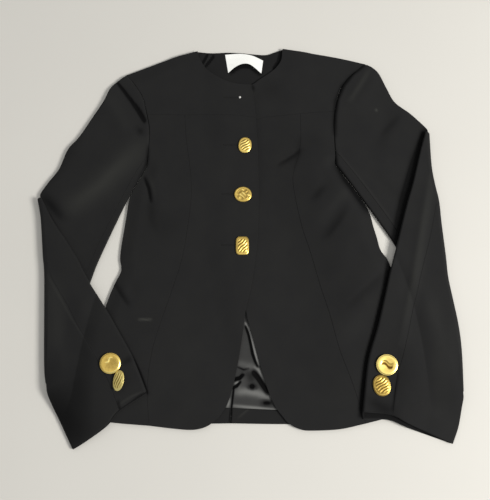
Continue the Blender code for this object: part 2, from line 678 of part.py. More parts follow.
def button_relief(kind, x, y, share):
    """The height of a button's front at one place, over its edge. share is 0 at the middle and 1 at the rim."""
    if kind == DISHED:
        rim = 1.2 * math.exp(-(((share - 0.84) / 0.13) ** 2))
        return 0.3 + rim + (BUTTON_WAVE * math.sin(math.tau * (x + 0.5 * y) / BUTTON_WAVES_EVERY) * (share < 0.4))
    dome = BUTTON_DOME * (1 - share**2)
    if kind == WAVE:
        bend = 0.8 * math.sin(math.tau * (x + y) / 22)
        wave = math.sin(math.tau * (y - BUTTON_WAVE_RISE * x + bend) / BUTTON_WAVES_EVERY)
        return dome + BUTTON_WAVE * wave * (1 - share**4)
    return dome + 0.4 * math.sin(1.1 * x) * math.sin(1.2 * y + 0.5) * (1 - share**4)


def build_button(name, height):
    """One metal button: a rounded plate with its relief, lying on the cloth at the given height."""
    kind, x, y, half_width, half_height, power, turn, tip = BUTTONS[name]
    rings = []
    for ring in BUTTON_RINGS:
        row = []
        for k in range(BUTTON_SIDES):
            angle = math.tau * k / BUTTON_SIDES
            cos, sin = math.cos(angle), math.sin(angle)
            reach = (abs(cos) ** power + abs(sin) ** power) ** (-1 / power)
            px, py = ring * reach * half_width * cos, ring * reach * half_height * sin
            row.append((px, py, BUTTON_EDGE + button_relief(kind, px, py, ring)))
        rings.append(row)
    rings.append([(px * 0.94, py * 0.94, 0.0) for px, py, _ in rings[-1]])
    vertices = [point for row in rings for point in row]
    vertices += [(0, 0, BUTTON_EDGE + button_relief(kind, 0, 0, 0)), (0, 0, 0)]
    front, back = len(vertices) - 2, len(vertices) - 1
    last = (len(rings) - 1) * BUTTON_SIDES
    faces = []
    for k in range(BUTTON_SIDES):
        after = (k + 1) % BUTTON_SIDES
        faces.append((front, k, after))
        faces.append((back, last + after, last + k))
        for ring in range(len(rings) - 1):
            base = ring * BUTTON_SIDES
            faces.append((base + k, base + BUTTON_SIDES + k, base + BUTTON_SIDES + after, base + after))
    mesh = bpy.data.meshes.new(name)
    mesh.from_pydata([tuple(value * MM for value in vertex) for vertex in vertices], [], faces)
    mesh.shade_smooth()
    mesh.set_sharp_from_angle(angle=math.radians(55))
    mesh.materials.append(finish("gilt_metal"))
    button = bpy.data.objects.new(name, mesh)
    lift = half_width * abs(math.sin(math.radians(tip)))
    button.location = (x * MM, y * MM, (height + LAYER_GAP + lift) * MM)
    button.rotation_euler = (0, math.radians(tip), math.radians(turn))
    bpy.data.collections["blazer"].objects.link(button)


def build_buttons(sleeves):
    """The buttons, each on the cloth under it, and the thread of the one that is gone."""
    for name, (_, x, y, *_) in BUTTONS.items():
        place = np.array([float(x), float(y)])
        if name.startswith("cuff"):
            sleeve = sleeves[name.rsplit("_", 1)[1]]
            table = FOREARM_FOLDS[sleeve.side]
            height = 2 * TUBE_HALF + sleeve.rest(place) + max(0, folds(place, table))
        else:
            height = lapped_height(place) + FRONT_WALL
        build_button(name, float(height))
    place = np.array([THREAD["x"], THREAD["y"]])
    bpy.ops.mesh.primitive_cone_add(
        vertices=12,
        radius1=THREAD["radius"] * MM,
        radius2=THREAD["radius"] * 0.5 * MM,
        depth=THREAD["height"] * MM,
        location=(*(place * MM), (float(lapped_height(place)) + FRONT_WALL + LAYER_GAP + THREAD["height"] / 2) * MM),
    )
    thread = bpy.context.object
    thread.name = thread.data.name = "top_button_thread"
    thread.data.materials.append(finish("white_satin"))
    for holder in list(thread.users_collection):
        holder.objects.unlink(thread)
    bpy.data.collections["blazer"].objects.link(thread)


def main():
    clear_scene()
    bpy.context.scene.collection.children.link(bpy.data.collections.new("blazer"))
    build_backs()
    build_inside()
    build_fronts()
    sleeves = {side: Sleeve(side) for side in SLEEVES}
    for sleeve in sleeves.values():
        sleeve.build()
    build_buttons(sleeves)


main()
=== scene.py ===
"""The looks of a short collarless blazer, laid on its back with both forearms folded over.

Left and right are the wearer's: the right side lies at -X, the neck towards +Y. Plan places in the tables are in
millimetres, in the frame's own axes, read from top to bottom.
"""

from __future__ import annotations

import enum
import json
import logging
import math
from dataclasses import dataclass
from typing import Any, Callable, Sequence

import bpy
import numpy as np
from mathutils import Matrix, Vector

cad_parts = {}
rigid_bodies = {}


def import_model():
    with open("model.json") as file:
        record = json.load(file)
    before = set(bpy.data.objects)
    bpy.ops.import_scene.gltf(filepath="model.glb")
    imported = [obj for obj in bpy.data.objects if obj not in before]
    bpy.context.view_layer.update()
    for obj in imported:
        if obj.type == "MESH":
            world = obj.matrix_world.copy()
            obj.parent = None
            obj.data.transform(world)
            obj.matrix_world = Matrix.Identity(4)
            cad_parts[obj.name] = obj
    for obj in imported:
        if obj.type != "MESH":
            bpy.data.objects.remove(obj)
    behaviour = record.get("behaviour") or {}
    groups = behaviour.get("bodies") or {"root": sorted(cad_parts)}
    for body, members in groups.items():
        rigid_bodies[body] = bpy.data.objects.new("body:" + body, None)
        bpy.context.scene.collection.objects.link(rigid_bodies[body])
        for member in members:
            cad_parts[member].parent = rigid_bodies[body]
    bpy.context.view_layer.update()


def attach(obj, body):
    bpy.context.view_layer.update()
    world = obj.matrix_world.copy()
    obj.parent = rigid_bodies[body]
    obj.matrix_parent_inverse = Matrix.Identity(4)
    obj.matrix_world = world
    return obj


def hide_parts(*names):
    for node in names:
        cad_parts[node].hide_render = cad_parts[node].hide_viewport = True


log = logging.getLogger("blazer")

MM = 0.001
BODY = "root"

Point = tuple[float, float]
Colour = tuple[float, float, float]
Edges = tuple[tuple[str, int], ...]
Array = np.ndarray

# Cloth walls and how the layers lie on each other, in millimetres.
BACK_WALL = 1.6
FRONT_WALL = 1.8
SLEEVE_WALL = 1.5
THIN_WALL = 1.0
LAYER_GAP = 0.3
HALF_SEAM = 0.06
ARMHOLE_GAP = 0.35
INSIDE_BASE = BACK_WALL + LAYER_GAP
NECK_FRONT = INSIDE_BASE + THIN_WALL + LAYER_GAP + 0.4
FULL_FRONT = 4.6
OUTLINE_FALL = 22.0
LAP_STEP = FRONT_WALL + LAYER_GAP
LAP_RISE = 38.0
LAP_MARGIN = 10.0

# The sleeve's flat tube, its fold, and the shares of the forearm's length and of the width where things lie.
TUBE_HALF = 3.2
FOLD_RADIUS = 3.6
REST_HEIGHT = 2 * FOLD_RADIUS
SAG_REACH = 48.0
SETTLE_SHARE = 3 / 11
STEP_SHARE = 1 / 11
INSEAM = 0.88

# Where an edge is read when only its course is wanted.
COURSE = np.linspace(0, 1, 25)

# Corners shared by several edges.
SHOULDER_RIGHT = (-192, 267)
SHOULDER_LEFT = (191, 286)
NECK_RIGHT = (-78, 308)
NECK_LEFT = (58, 312)
YOKE_ARM_RIGHT = (-156, 201)
YOKE_ARM_LEFT = (139, 206)
YOKE_FRONT_RIGHT = (15, 195)
YOKE_FRONT_LEFT = (-22, 194)
YOKE_PRINCESS_RIGHT = (-97, 200)
YOKE_PRINCESS_LEFT = (85, 202)
UNDERARM_RIGHT = (-155, 116)
UNDERARM_LEFT = (139, 119)
HEM_SIDE_RIGHT = (-220, -269)
HEM_SIDE_LEFT = (222, -260)
HEM_PRINCESS_RIGHT = (-142, -276)
HEM_PRINCESS_LEFT = (174, -273)
CORNER_RIGHT = (-41, -265)
CORNER_LEFT = (54, -264)
LAP_NECK_RIGHT = (8, 250)
LAP_NECK_LEFT = (-22, 249)
BACK_NECK_MIDDLE = (-6, 306)
BACK_HEM_MIDDLE = (-23, -273)

EDGES: dict[str, tuple[Point, ...]] = {
    # name: plan points along the edge
    "shoulder_right": (SHOULDER_RIGHT, (-157, 281), (-116, 297), NECK_RIGHT),
    "shoulder_left": (NECK_LEFT, (77, 309), (102, 305), (150, 296), SHOULDER_LEFT),
    "back_neck_right": (NECK_RIGHT, (-56, 306), (-30, 307), BACK_NECK_MIDDLE),
    "back_neck_left": (BACK_NECK_MIDDLE, (12, 304), (32, 303), (45, 307), NECK_LEFT),
    "front_neck_right": (NECK_RIGHT, (-75, 296), (-64, 278), (-49, 266), (-33, 257), (-17, 252), LAP_NECK_RIGHT),
    "front_neck_left": (LAP_NECK_LEFT, (-5, 248), (10, 251), (21, 259), (38, 271), (48, 280), (56, 293), NECK_LEFT),
    "arm_right_yoke": (SHOULDER_RIGHT, (-177, 251), (-163, 228), YOKE_ARM_RIGHT),
    "arm_right_side": (YOKE_ARM_RIGHT, (-152, 180), (-152, 150), UNDERARM_RIGHT),
    "arm_left_yoke": (SHOULDER_LEFT, (168, 268), (152, 249), (143, 224), YOKE_ARM_LEFT),
    "arm_left_side": (YOKE_ARM_LEFT, (137, 185), (138, 150), UNDERARM_LEFT),
    "side_right": (
        UNDERARM_RIGHT, (-163.2, 100.7), (-171.3, 85.8), (-180.4, 66), (-184, 40), (-187.5, 14), (-191, -12),
        (-192, -30), (-190, -48), (-200, -70), (-212, -105), (-219, -152), (-222, -210), HEM_SIDE_RIGHT,
    ),
    "side_left": (
        UNDERARM_LEFT, (154, 98.2), (167.1, 80), (182.3, 57.8), (190.5, 40), (195, 21), (200, 3),
        (205, -16), (218, -38), (227, -92), (230, -152), (228, -210), HEM_SIDE_LEFT,
    ),
    "yoke_right_side": (YOKE_ARM_RIGHT, (-126, 200.5), YOKE_PRINCESS_RIGHT),
    "yoke_right_centre": (YOKE_PRINCESS_RIGHT, (-57, 200), (-20, 199), YOKE_FRONT_RIGHT),
    "yoke_left_centre": (YOKE_FRONT_LEFT, (17, 193), (29, 196), (56, 199), YOKE_PRINCESS_LEFT),
    "yoke_left_side": (YOKE_PRINCESS_LEFT, (112, 204.5), YOKE_ARM_LEFT),
    "princess_right": (
        YOKE_PRINCESS_RIGHT, (-94, 159), (-88, 118), (-85, 71), (-90, 20), (-98, -30), (-112, -77),
        (-128, -125), (-140, -168), (-146, -220), HEM_PRINCESS_RIGHT,
    ),
    "princess_left": (
        YOKE_PRINCESS_LEFT, (85, 160), (81, 133), (74, 110), (72, 89), (78, 51), (86, 16), (98, -22),
        (111, -70), (125, -115), (138, -165), (155, -212), HEM_PRINCESS_LEFT,
    ),
    "front_edge_yoke_right": (LAP_NECK_RIGHT, (12, 226), YOKE_FRONT_RIGHT),
    "front_edge_right": (
        YOKE_FRONT_RIGHT, (18, 143), (19, 70), (17, 0), (9, -62), (-1, -108), (-4, -133), (-9, -167),
        (-16, -204), (-27, -243), CORNER_RIGHT,
    ),
    "front_edge_yoke_left": (LAP_NECK_LEFT, (-22, 221), YOKE_FRONT_LEFT),
    "front_edge_left": (
        YOKE_FRONT_LEFT, (-22, 130), (-20, 60), (-15, -31), (-1, -107), (5, -133), (13, -160), (22, -194),
        (31, -223), (42, -248), CORNER_LEFT,
    ),
    "hem_right_side": (HEM_SIDE_RIGHT, (-182, -273), HEM_PRINCESS_RIGHT),
    "hem_right_centre": (HEM_PRINCESS_RIGHT, (-108, -280), (-82, -282), (-66, -280), (-54, -275), CORNER_RIGHT),
    "hem_left_centre": (CORNER_LEFT, (62, -273), (78, -281), (94, -283), (136, -281), HEM_PRINCESS_LEFT),
    "hem_left_side": (HEM_PRINCESS_LEFT, (202, -266), HEM_SIDE_LEFT),
    "centre_back": (BACK_NECK_MIDDLE, (-8, 150), (-12, 0), (-18, -150), BACK_HEM_MIDDLE),
    "back_hem_right": (HEM_SIDE_RIGHT, (-141, -273), (-70, -273.5), BACK_HEM_MIDDLE),
    "back_hem_left": (BACK_HEM_MIDDLE, (64, -274), (152, -271), HEM_SIDE_LEFT),
    "back_neck_facing_top": (
        (-102, 300), (-78, 306), (-56, 304.5), (-30, 305), (12, 302.5), (32, 301.5), (45, 305), (58, 310),
        (82, 307),
    ),
    "back_neck_facing_bottom": ((-98, 284), (-78, 258), (-44, 238), (-5, 228), (34, 237), (60, 258), (80, 288)),
    "label_top": ((-34, 302.2), (-10, 303.8), (9, 300.8), (27, 292.2)),
    "label_bottom": ((-29, 271), (-17, 281), (-5, 286), (7, 284), (24, 270)),
    "back_lining_top": ((-46, -84), (0, -86), (50, -84)),
    "back_lining_bottom": ((-66, -250), (-30, -250.5), (17, -252.5), (84, -255)),
    "back_hem_facing_right_top": ((-66, -250.8), (-23, -251.3)),
    "back_hem_facing_right_bottom": ((-70, -272.8), (-24.5, -272.8)),
    "back_hem_facing_left_top": ((-21.5, -251.4), (17, -253.3), (84, -255.8)),
    "back_hem_facing_left_bottom": ((-22.5, -272.8), (17, -273), (88, -272.5)),
}


def smoothstep(share: Array | float) -> Array:
    """A soft step from 0 to 1 as share goes from 0 to 1."""
    held = np.clip(share, 0, 1)
    return held * held * (3 - 2 * held)


def distance_to(places: Array, starts: Array, ends: Array) -> Array:
    """Plan distances to the nearest of some straight stretches.

    Args:
        places: plan points, in the last axis.
        starts: the first point of each stretch.
        ends: the last point of each stretch.

    Returns:
        One distance for each place.
    """
    nearest = np.full(places.shape[:-1], np.inf)
    for start, end in zip(starts, ends):
        way = end - start
        offset = places - start
        share = np.clip((offset @ way) / (way @ way), 0, 1)
        nearest = np.minimum(nearest, np.linalg.norm(offset - share[..., None] * way, axis=-1))
    return nearest


def within(places: Array, outline: Array) -> Array:
    """True for each place inside a closed plan outline."""
    x, y = places[..., 0], places[..., 1]
    found = np.zeros(x.shape, bool)
    for (x1, y1), (x2, y2) in zip(outline, np.roll(outline, -1, axis=0)):
        crosses = (y1 > y) != (y2 > y)
        rise = np.where(crosses, (x2 - x1) * (y - y1) / (y2 - y1 + 1e-12) + x1, 0)
        found ^= crosses & (x < rise)
    return found


class Line:
    """A smooth plan curve through given points, read by the share of its length."""

    STEPS = 12

    def __init__(self, points: Sequence[Point]) -> None:
        """Works out the curve.

        Args:
            points: the plan points that it passes.
        """
        given = np.asarray(points, float)
        ends = 2 * given[[0, -1]] - given[[1, -2]]
        held = np.vstack([ends[:1], given, ends[1:]])
        t = np.linspace(0, 1, self.STEPS, endpoint=False)[:, None]
        runs = [
            0.5 * (2 * b + (c - a) * t + (2 * a - 5 * b + 4 * c - d) * t**2 + (3 * b - 3 * c + d - a) * t**3)
            for a, b, c, d in zip(held[:-3], held[1:-2], held[2:-1], held[3:])
        ]
        self.points = np.vstack([*runs, given[-1:]])
        gone = np.linalg.norm(np.diff(self.points, axis=0), axis=1)
        self.gone = np.concatenate([[0], np.cumsum(gone)])

    @property
    def length(self) -> float:
        """The curve's length in millimetres."""
        return float(self.gone[-1])

    def at(self, shares: Array) -> Array:
        """The plan points at these shares of the length."""
        wanted = np.asarray(shares) * self.length
        return np.stack([np.interp(wanted, self.gone, self.points[:, axis]) for axis in (0, 1)], -1)


class Run:
    """Named edges joined end to end, each taking its own part of the way from 0 to 1."""

    def __init__(self, *edges: tuple[str, int]) -> None:
        """Looks the edges up.

        Args:
            edges: each edge's name and its number of parts of the way.
        """
        self.lines = [Line(EDGES[name]) for name, _ in edges]
        parts = [count for _, count in edges]
        self.stops = np.concatenate([[0], np.cumsum(parts)]) / sum(parts)

    @property
    def length(self) -> float:
        """The whole length in millimetres."""
        return sum(line.length for line in self.lines)

    def at(self, shares: Array) -> Array:
        """The plan points at these places between 0 and 1."""
        shares = np.asarray(shares, float)
        found = np.empty((*shares.shape, 2))
        for line, start, stop in zip(self.lines, self.stops[:-1], self.stops[1:]):
            chosen = (shares >= start) & (shares <= stop)
            found[chosen] = line.at((shares[chosen] - start) / (stop - start))
        return found


class Straight:
    """A straight plan line, read in the same way as a curve."""

    def __init__(self, start: Point, end: Point) -> None:
        """Keeps the two ends."""
        self.start, self.end = np.asarray(start, float), np.asarray(end, float)

    @property
    def length(self) -> float:
        """The line's length in millimetres."""
        return float(np.linalg.norm(self.end - self.start))

    def at(self, shares: Array) -> Array:
        """The plan points at these shares of the length."""
        return self.start + np.asarray(shares)[..., None] * (self.end - self.start)


@dataclass(frozen=True)
class Crease:
    """A soft ridge, or a trough where the height is below zero, along a line in plan.

    Its dark is the painted shade along it: how black the cloth is painted there. Below zero it is a painted
    highlight, except on a few short creases that are pale lint and thread marks. Its lean makes it wider on one side.
    """

    line: tuple[Point, ...]
    height: float
    width: float
    dark: float = 0.0
    lean: float = 0.0

    END = 0.45
    END_POWER = 0.6
    SHADE_WIDTH = 0.8

    def reach(self, places: Array) -> tuple[Array, Array]:
        """How far places are from the line, and how strong the crease is beside them.

        Args:
            places: plan points, in the last axis.

        Returns:
            Distances in the crease's own widths, and strengths up to 1, less towards its two ends.
        """
        best = np.full(places.shape[:-1], np.inf)
        side, along = np.zeros(best.shape), np.zeros(best.shape)
        points = np.asarray(self.line, float)
        gone = 0.0
        for start, end in zip(points[:-1], points[1:]):
            way, offset = end - start, places - start
            length = float(np.linalg.norm(way))
            share = np.clip((offset @ way) / length**2, 0, 1)
            away = np.linalg.norm(offset - share[..., None] * way, axis=-1)
            cross = way[0] * offset[..., 1] - way[1] * offset[..., 0]
            nearer = away < best
            side = np.where(nearer, np.tanh(cross / length / 2), side)
            along = np.where(nearer, gone + share * length, along)
            best = np.minimum(best, away)
            gone += length
        strength = self.END + (1 - self.END) * np.abs(np.sin(math.pi * along / gone)) ** self.END_POWER
        return best / (self.width * (1 + self.lean * side)), strength

    def lift(self, places: Array) -> Array:
        """The height that the crease adds, in millimetres."""
        distance, strength = self.reach(places)
        return self.height * strength * np.exp(-(distance**2))

    def shade(self, places: Array) -> Array:
        """How much painted shade the crease lays on the cloth; below zero, how much paler it paints the cloth."""
        distance, strength = self.reach(places)
        return self.dark * strength * np.exp(-((distance / self.SHADE_WIDTH) ** 2))


def lifted(places: Array, creases: Sequence[Crease]) -> Array:
    """The height that several creases add together."""
    return sum((crease.lift(places) for crease in creases if crease.height), np.zeros(places.shape[:-1]))


def shaded(places: Array, creases: Sequence[Crease]) -> Array:
    """How much painted shade several creases lay on the cloth together."""
    return sum((crease.shade(places) for crease in creases if crease.dark), np.zeros(places.shape[:-1]))


class Ripple:
    """Slow unevenness of cloth that lies free: a few long waves that run in all directions."""

    WAVES = 14
    SHORTEST, LONGEST = 34.0, 130.0

    def __init__(self, seed: int) -> None:
        """Draws the waves.

        Args:
            seed: the number that fixes them.
        """
        draw = np.random.default_rng(seed)
        lengths = draw.uniform(self.SHORTEST, self.LONGEST, self.WAVES)
        angles = draw.uniform(0, math.tau, self.WAVES)
        self.ways = math.tau / lengths * np.array([np.cos(angles), np.sin(angles)])
        self.phases = draw.uniform(0, math.tau, self.WAVES)
        self.shares = lengths / lengths.sum() * 2

    def at(self, places: Array) -> Array:
        """The waves' height, about -1 to 1, at plan places."""
        return (np.sin(places @ self.ways + self.phases) * self.shares).sum(-1)


FRONT_FOLDS = (
    Crease(((-154, 101), (-149, 52)), -1.3, 9.0),
    Crease(((-139, 98), (-134, 45)), 0.9, 12.0),
    Crease(((-176, -62), (-168, -95)), -1.0, 9.0),
    Crease(((55, 130), (82, 142)), -1.1, 9.0),
    Crease(((152, 42), (112, 4)), -1.2, 13.0),
    Crease(((166, 60), (128, 22)), 1.2, 13.0),
    Crease(((120, 112), (124, 76)), -1.0, 10.0),
    Crease(((186, -60), (150, -104)), 0.9, 16.0),
    Crease(((-70, 120), (-76, 40)), 1.2, 38.0),
    Crease(((78, 120), (86, 40)), 1.2, 38.0),
)
FRONT_CREASES = (
    # Towards the wearer's right: the armpit, the waist, the belly, the lap, with painted shade in the troughs, along
    # the armhole and down the side, painted highlight on a ridge and broadly below the waist, and one pale lint mark.
    Crease(((-158, 98), (-151, 80), (-147, 60)), -0.9, 3.2, 1.5, 0.4),
    Crease(((-150, 98), (-144, 76), (-143, 56)), 0.4, 5.0, -0.25),
    Crease(((-201, -64), (-190, -82), (-178, -99)), -0.8, 4.5, 0.7, 0.4),
    Crease(((-120, 30), (-124, -20), (-140, -70)), 0.5, 16.0),
    Crease(((-148, 60), (-146, 34), (-140, 18)), -0.3, 7.0, 0.2),
    Crease(((-150, 52), (-136, 30), (-108, 8)), 0.0, 22.0, 0.16),
    Crease(((-161, -121.5), (-142, -121.5)), 0.0, 1.8, -1.6),
    Crease(((-154, 146), (-154, 130), (-156, 116)), 0.0, 4.0, 1.0),
    Crease(((-191, 0), (-192, -30), (-190, -48), (-201, -70)), 0.0, 8.0, 0.25),
    Crease(((-120, -150), (-80, -200)), 0.0, 60.0, -0.07),
    # Towards the wearer's left: the chest dart, the armpit, the waist, the princess seam, with painted shade in the
    # troughs, along the armhole and the princess seam, painted shadow under the sleeve's edge and beside the forearm's
    # edge, and broad patches painted darker and paler.
    Crease(((50, 119), (62, 126), (74, 134), (84, 143)), -0.8, 4.0, 0.6, -0.4),
    Crease(((152, 44), (140, 26), (124, 6)), -0.7, 8.0, 0.5, -0.5),
    Crease(((120, 84), (112, 74), (104, 64)), -0.5, 7.0, 0.45),
    Crease(((207, -52), (180, -76), (154, -100)), -0.8, 8.0, 0.25, 0.4),
    Crease(((176, 20), (150, -10), (128, -60)), 0.6, 14.0),
    Crease(((162, 84), (142, 62), (116, 32)), 0.3, 12.0, -0.22),
    Crease(((84, 160), (81, 133), (74, 112)), 0.0, 5.0, 0.25),
    Crease(((111, 168), (104, 150)), 0.0, 24.0, 0.12),
    Crease(((52, 246), (26, 238)), 0.0, 24.0, 0.16),
    Crease(((17, 236), (20, 180), (23, 120), (22, 60)), 0.0, 7.0, 0.12),
    Crease(((10, 249), (12, 241)), 0.0, 3.0, 0.8),
    Crease(((190, 283), (168, 267), (151, 248), (141, 224), (138, 200), (137, 170)), 0.0, 3.6, 0.8),
    Crease(((143, 118), (157, 94), (172, 72), (188, 46)), 0.0, 8.0, 1.7),
    Crease(((224, -26), (217, -48), (206, -88), (194, -130), (178, -182), (170, -232), (166, -262)), 0.0, 4.2, 2.0),
    Crease(((181, -103), (139, -167)), 0.0, 26.0, -0.2),
    Crease(((60, 160), (110, 40), (140, -110), (110, -240)), 0.0, 60.0, 0.2),
    # Painted shadow along the elbow edge of the wearer's right forearm.
    Crease(((-212, -104), (-191, -138), (-169, -175), (-157, -200), (-145, -230)), 0.0, 2.4, 0.7),
    Crease(((-167, -180), (-157, -200), (-145, -230)), 0.0, 2.4, 1.2),
)


class Drape:
    """How the fronts lie on the back, and the right one on the left one."""

    # The neck facing's reach, over which the fronts lie higher, and how softly that starts.
    NECK_MIDDLE_X = -10.0
    NECK_HALF_WIDTH = 120.0
    NECK_FADE = 20.0
    NECK_LOWEST_Y = 200.0
    NECK_BLEND = 12.0
    RIPPLE = 0.28
    EDGE_STEPS = 61
    OUTLINE = ("side_right", "side_left", "shoulder_right", "shoulder_left")

    def __init__(self) -> None:
        """Reads the outline that the fronts come down to."""
        runs = [Line(EDGES[name]).at(COURSE) for name in self.OUTLINE]
        self.starts = np.vstack([run[:-1] for run in runs])
        self.ends = np.vstack([run[1:] for run in runs])
        self.ripple = Ripple(3)
        self.under_edge = Line(EDGES["front_edge_left"]).at(np.linspace(0, 1, self.EDGE_STEPS))

    def front(self, places: Array) -> Array:
        """The height of the fronts' lower face over the surface, in millimetres."""
        away = distance_to(places, self.starts, self.ends)
        from_middle = np.abs(places[..., 0] - self.NECK_MIDDLE_X)
        near_neck = smoothstep((self.NECK_HALF_WIDTH - from_middle) / self.NECK_FADE)
        near_neck *= smoothstep((places[..., 1] - self.NECK_LOWEST_Y) / self.NECK_BLEND + 0.5)
        low = INSIDE_BASE + (NECK_FRONT - INSIDE_BASE) * near_neck
        share = smoothstep(away / OUTLINE_FALL)
        soft = lifted(places, FRONT_FOLDS) + lifted(places, FRONT_CREASES)
        return low + (FULL_FRONT - low) * share + share * (soft + self.RIPPLE * self.ripple.at(places))

    def lapped(self, places: Array) -> Array:
        """The same for the right front, which rises over the left one at the middle."""
        edge_x = np.interp(-places[..., 1], -self.under_edge[:, 1], self.under_edge[:, 0])
        rise = smoothstep((places[..., 0] - edge_x + LAP_MARGIN + LAP_RISE) / LAP_RISE)
        return self.front(places) + LAP_STEP * rise


class Value:
    """A number socket in a Python expression: each operation on it adds a Math node."""

    def __init__(self, shader: Shader, socket: bpy.types.NodeSocket) -> None:
        """Keeps the socket and the shader that it belongs to."""
        self.shader, self.socket = shader, socket

    def _maths(self, operation: str, *values: Any) -> Value:
        """The result of one Math node on these values."""
        return self.shader.node("ShaderNodeMath", {"operation": operation}, dict(enumerate(values)))

    def __add__(self, other: Any) -> Value:
        """self + other."""
        return self._maths("ADD", self, other)

    __radd__ = __add__

    def __sub__(self, other: Any) -> Value:
        """self - other."""
        return self._maths("SUBTRACT", self, other)

    def __rsub__(self, other: Any) -> Value:
        """other - self."""
        return self._maths("SUBTRACT", other, self)

    def __mul__(self, other: Any) -> Value:
        """self * other."""
        return self._maths("MULTIPLY", self, other)

    __rmul__ = __mul__

    def sine(self) -> Value:
        """The sine of this value, in radians."""
        return self._maths("SINE", self)

    def held(self) -> Value:
        """This value kept within 0 and 1."""
        return self.shader.node("ShaderNodeMath", {"operation": "ADD", "use_clamp": True}, {0: self, 1: 0.0})


class Shader:
    """One material's node tree, with its Principled node."""

    def __init__(self, name: str) -> None:
        """Makes the material.

        Args:
            name: the material's name.
        """
        self.material = bpy.data.materials.new(name)
        self.material.use_nodes = True
        self.tree = self.material.node_tree
        self.principled = self.tree.nodes["Principled BSDF"]

    def node(self, kind: str, settings: dict[str, Any], inputs: dict[Any, Any], out: Any = 0) -> Value:
        """Adds one node.

        Args:
            kind: the node's type.
            settings: its settings, set before its sockets.
            inputs: a value or a link for each socket, by name or number.
            out: the name or number of the output wanted.

        Returns:
            That output.
        """
        made = self.tree.nodes.new(kind)
        for name, value in settings.items():
            setattr(made, name, value)
        for key, value in inputs.items():
            if isinstance(value, Value):
                self.tree.links.new(value.socket, made.inputs[key])
            else:
                made.inputs[key].default_value = value
        return Value(self, made.outputs[out])

    def place(self) -> Value:
        """The point on the surface in the frame's own metres."""
        return self.node("ShaderNodeTexCoord", {}, {}, "Object")

    def painted(self, name: str) -> Value:
        """A value that the mesh carries at its points."""
        return self.node("ShaderNodeAttribute", {"attribute_name": name}, {}, "Fac")

    def noise(self, size: float, detail: float = 2.0, vector: Value | None = None) -> Value:
        """Soft noise with features of a given size.

        Args:
            size: the features' size in millimetres.
            detail: how many finer layers it has.
            vector: where it is read, the surface point itself if left out.

        Returns:
            A value about 0 to 1.
        """
        values = {"Vector": vector or self.place(), "Scale": 1 / (size * MM), "Detail": detail}
        return self.node("ShaderNodeTexNoise", {}, values)

    def stretched(self, x: float, y: float, turn: float = 0.0) -> Value:
        """The surface point with its axes scaled, and turned about the vertical by so many degrees."""
        values = {"Vector": self.place(), "Rotation": (0, 0, math.radians(turn)), "Scale": (x, y, 1.0)}
        return self.node("ShaderNodeMapping", {}, values)

    def waves(self, axis: str, size: float, vector: Value | None = None) -> Value:
        """A sine, -1 to 1, along an axis of the surface point or of a vector, with so many millimetres to a wave."""
        run = self.node("ShaderNodeSeparateXYZ", {}, {"Vector": vector or self.place()}, axis)
        return (run * (math.tau / (size * MM))).sine()

    def shade(self, dark: Any, light: Any, share: Value) -> Value:
        """A colour between two, by a share."""
        ends = {key: end if isinstance(end, Value) else (*end, 1.0) for key, end in ((6, dark), (7, light))}
        return self.node("ShaderNodeMix", {"data_type": "RGBA"}, {0: share, **ends}, 2)

    def toned(self, cloth: Value, deep: Sequence[float], highlight_and_lint: Sequence[float]) -> Value:
        """A cloth's colour with the painted shade that its mesh carries: blacker above zero, paler below zero for
        painted highlight and lint.
        """
        tone = self.painted("tone")
        return self.shade(self.shade(cloth, highlight_and_lint, (tone * -1.0).held()), deep, tone.held())

    def bump(self, height: Value, depth: float, strength: float = 1.0) -> Value:
        """A normal from a height.

        Args:
            height: 0 to 1.
            depth: millimetres between 0 and 1.
            strength: how much of it shows.

        Returns:
            The normal.
        """
        values = {"Height": height, "Distance": depth * MM, "Strength": strength}
        return self.node("ShaderNodeBump", {}, values, "Normal")

    def set(self, **values: Any) -> None:
        """Sets or links the Principled node's sockets, with _ for a space in a name."""
        for name, value in values.items():
            socket = self.principled.inputs[name.replace("_", " ")]
            if isinstance(value, Value):
                self.tree.links.new(value.socket, socket)
            else:
                socket.default_value = value


def times(colour: Sequence[float], factor: float) -> Colour:
    """A colour made darker or lighter."""
    return tuple(channel * factor for channel in colour)


@dataclass(frozen=True)
class Crepe:
    """Fine matt black crepe with a pebbled twill face, blackened by the painted shade that its mesh carries and paler
    where that marks painted highlight and lint. The sizes of its features are in millimetres.
    """

    name: str = "black_crepe"
    colour: Colour = (0.0102, 0.0102, 0.0105)
    brighter: Colour = (0.0138, 0.0138, 0.0134)
    # The black of painted shade, and the paler colour of painted highlight and lint.
    deep: Colour = (0.0004, 0.0004, 0.0005)
    highlight_and_lint: Colour = (0.030, 0.0303, 0.0272)
    roughness: float = 0.8
    uneven: float = 0.16
    shine: float = 0.12
    grain: float = 0.75
    twill: float = 1.1
    twill_turn: float = 38.0
    mottle: float = 38.0
    fuzz: float = 5.0

    def material(self) -> bpy.types.Material:
        """Builds the material."""
        shader = Shader(self.name)
        pebbles = shader.noise(self.grain, 2.0, shader.stretched(1.0, 0.45))
        twill = shader.waves("X", self.twill, shader.stretched(1.0, 1.0, self.twill_turn))
        mottle = shader.noise(self.mottle, 3.0)
        fuzz = shader.noise(self.fuzz, 3.0)
        share = (mottle * 1.2 + fuzz * 0.8 - 0.5).held()
        shader.set(
            Base_Color=shader.toned(shader.shade(self.colour, self.brighter, share), self.deep, self.highlight_and_lint),
            Roughness=(self.roughness - self.uneven / 2 + fuzz * self.uneven).held(),
            Specular_IOR_Level=self.shine,
            Sheen_Weight=0.02,
            Sheen_Roughness=0.5,
            Normal=shader.bump(pebbles * 0.7 + twill * 0.15, 0.10, 0.5),
        )
        return shader.material


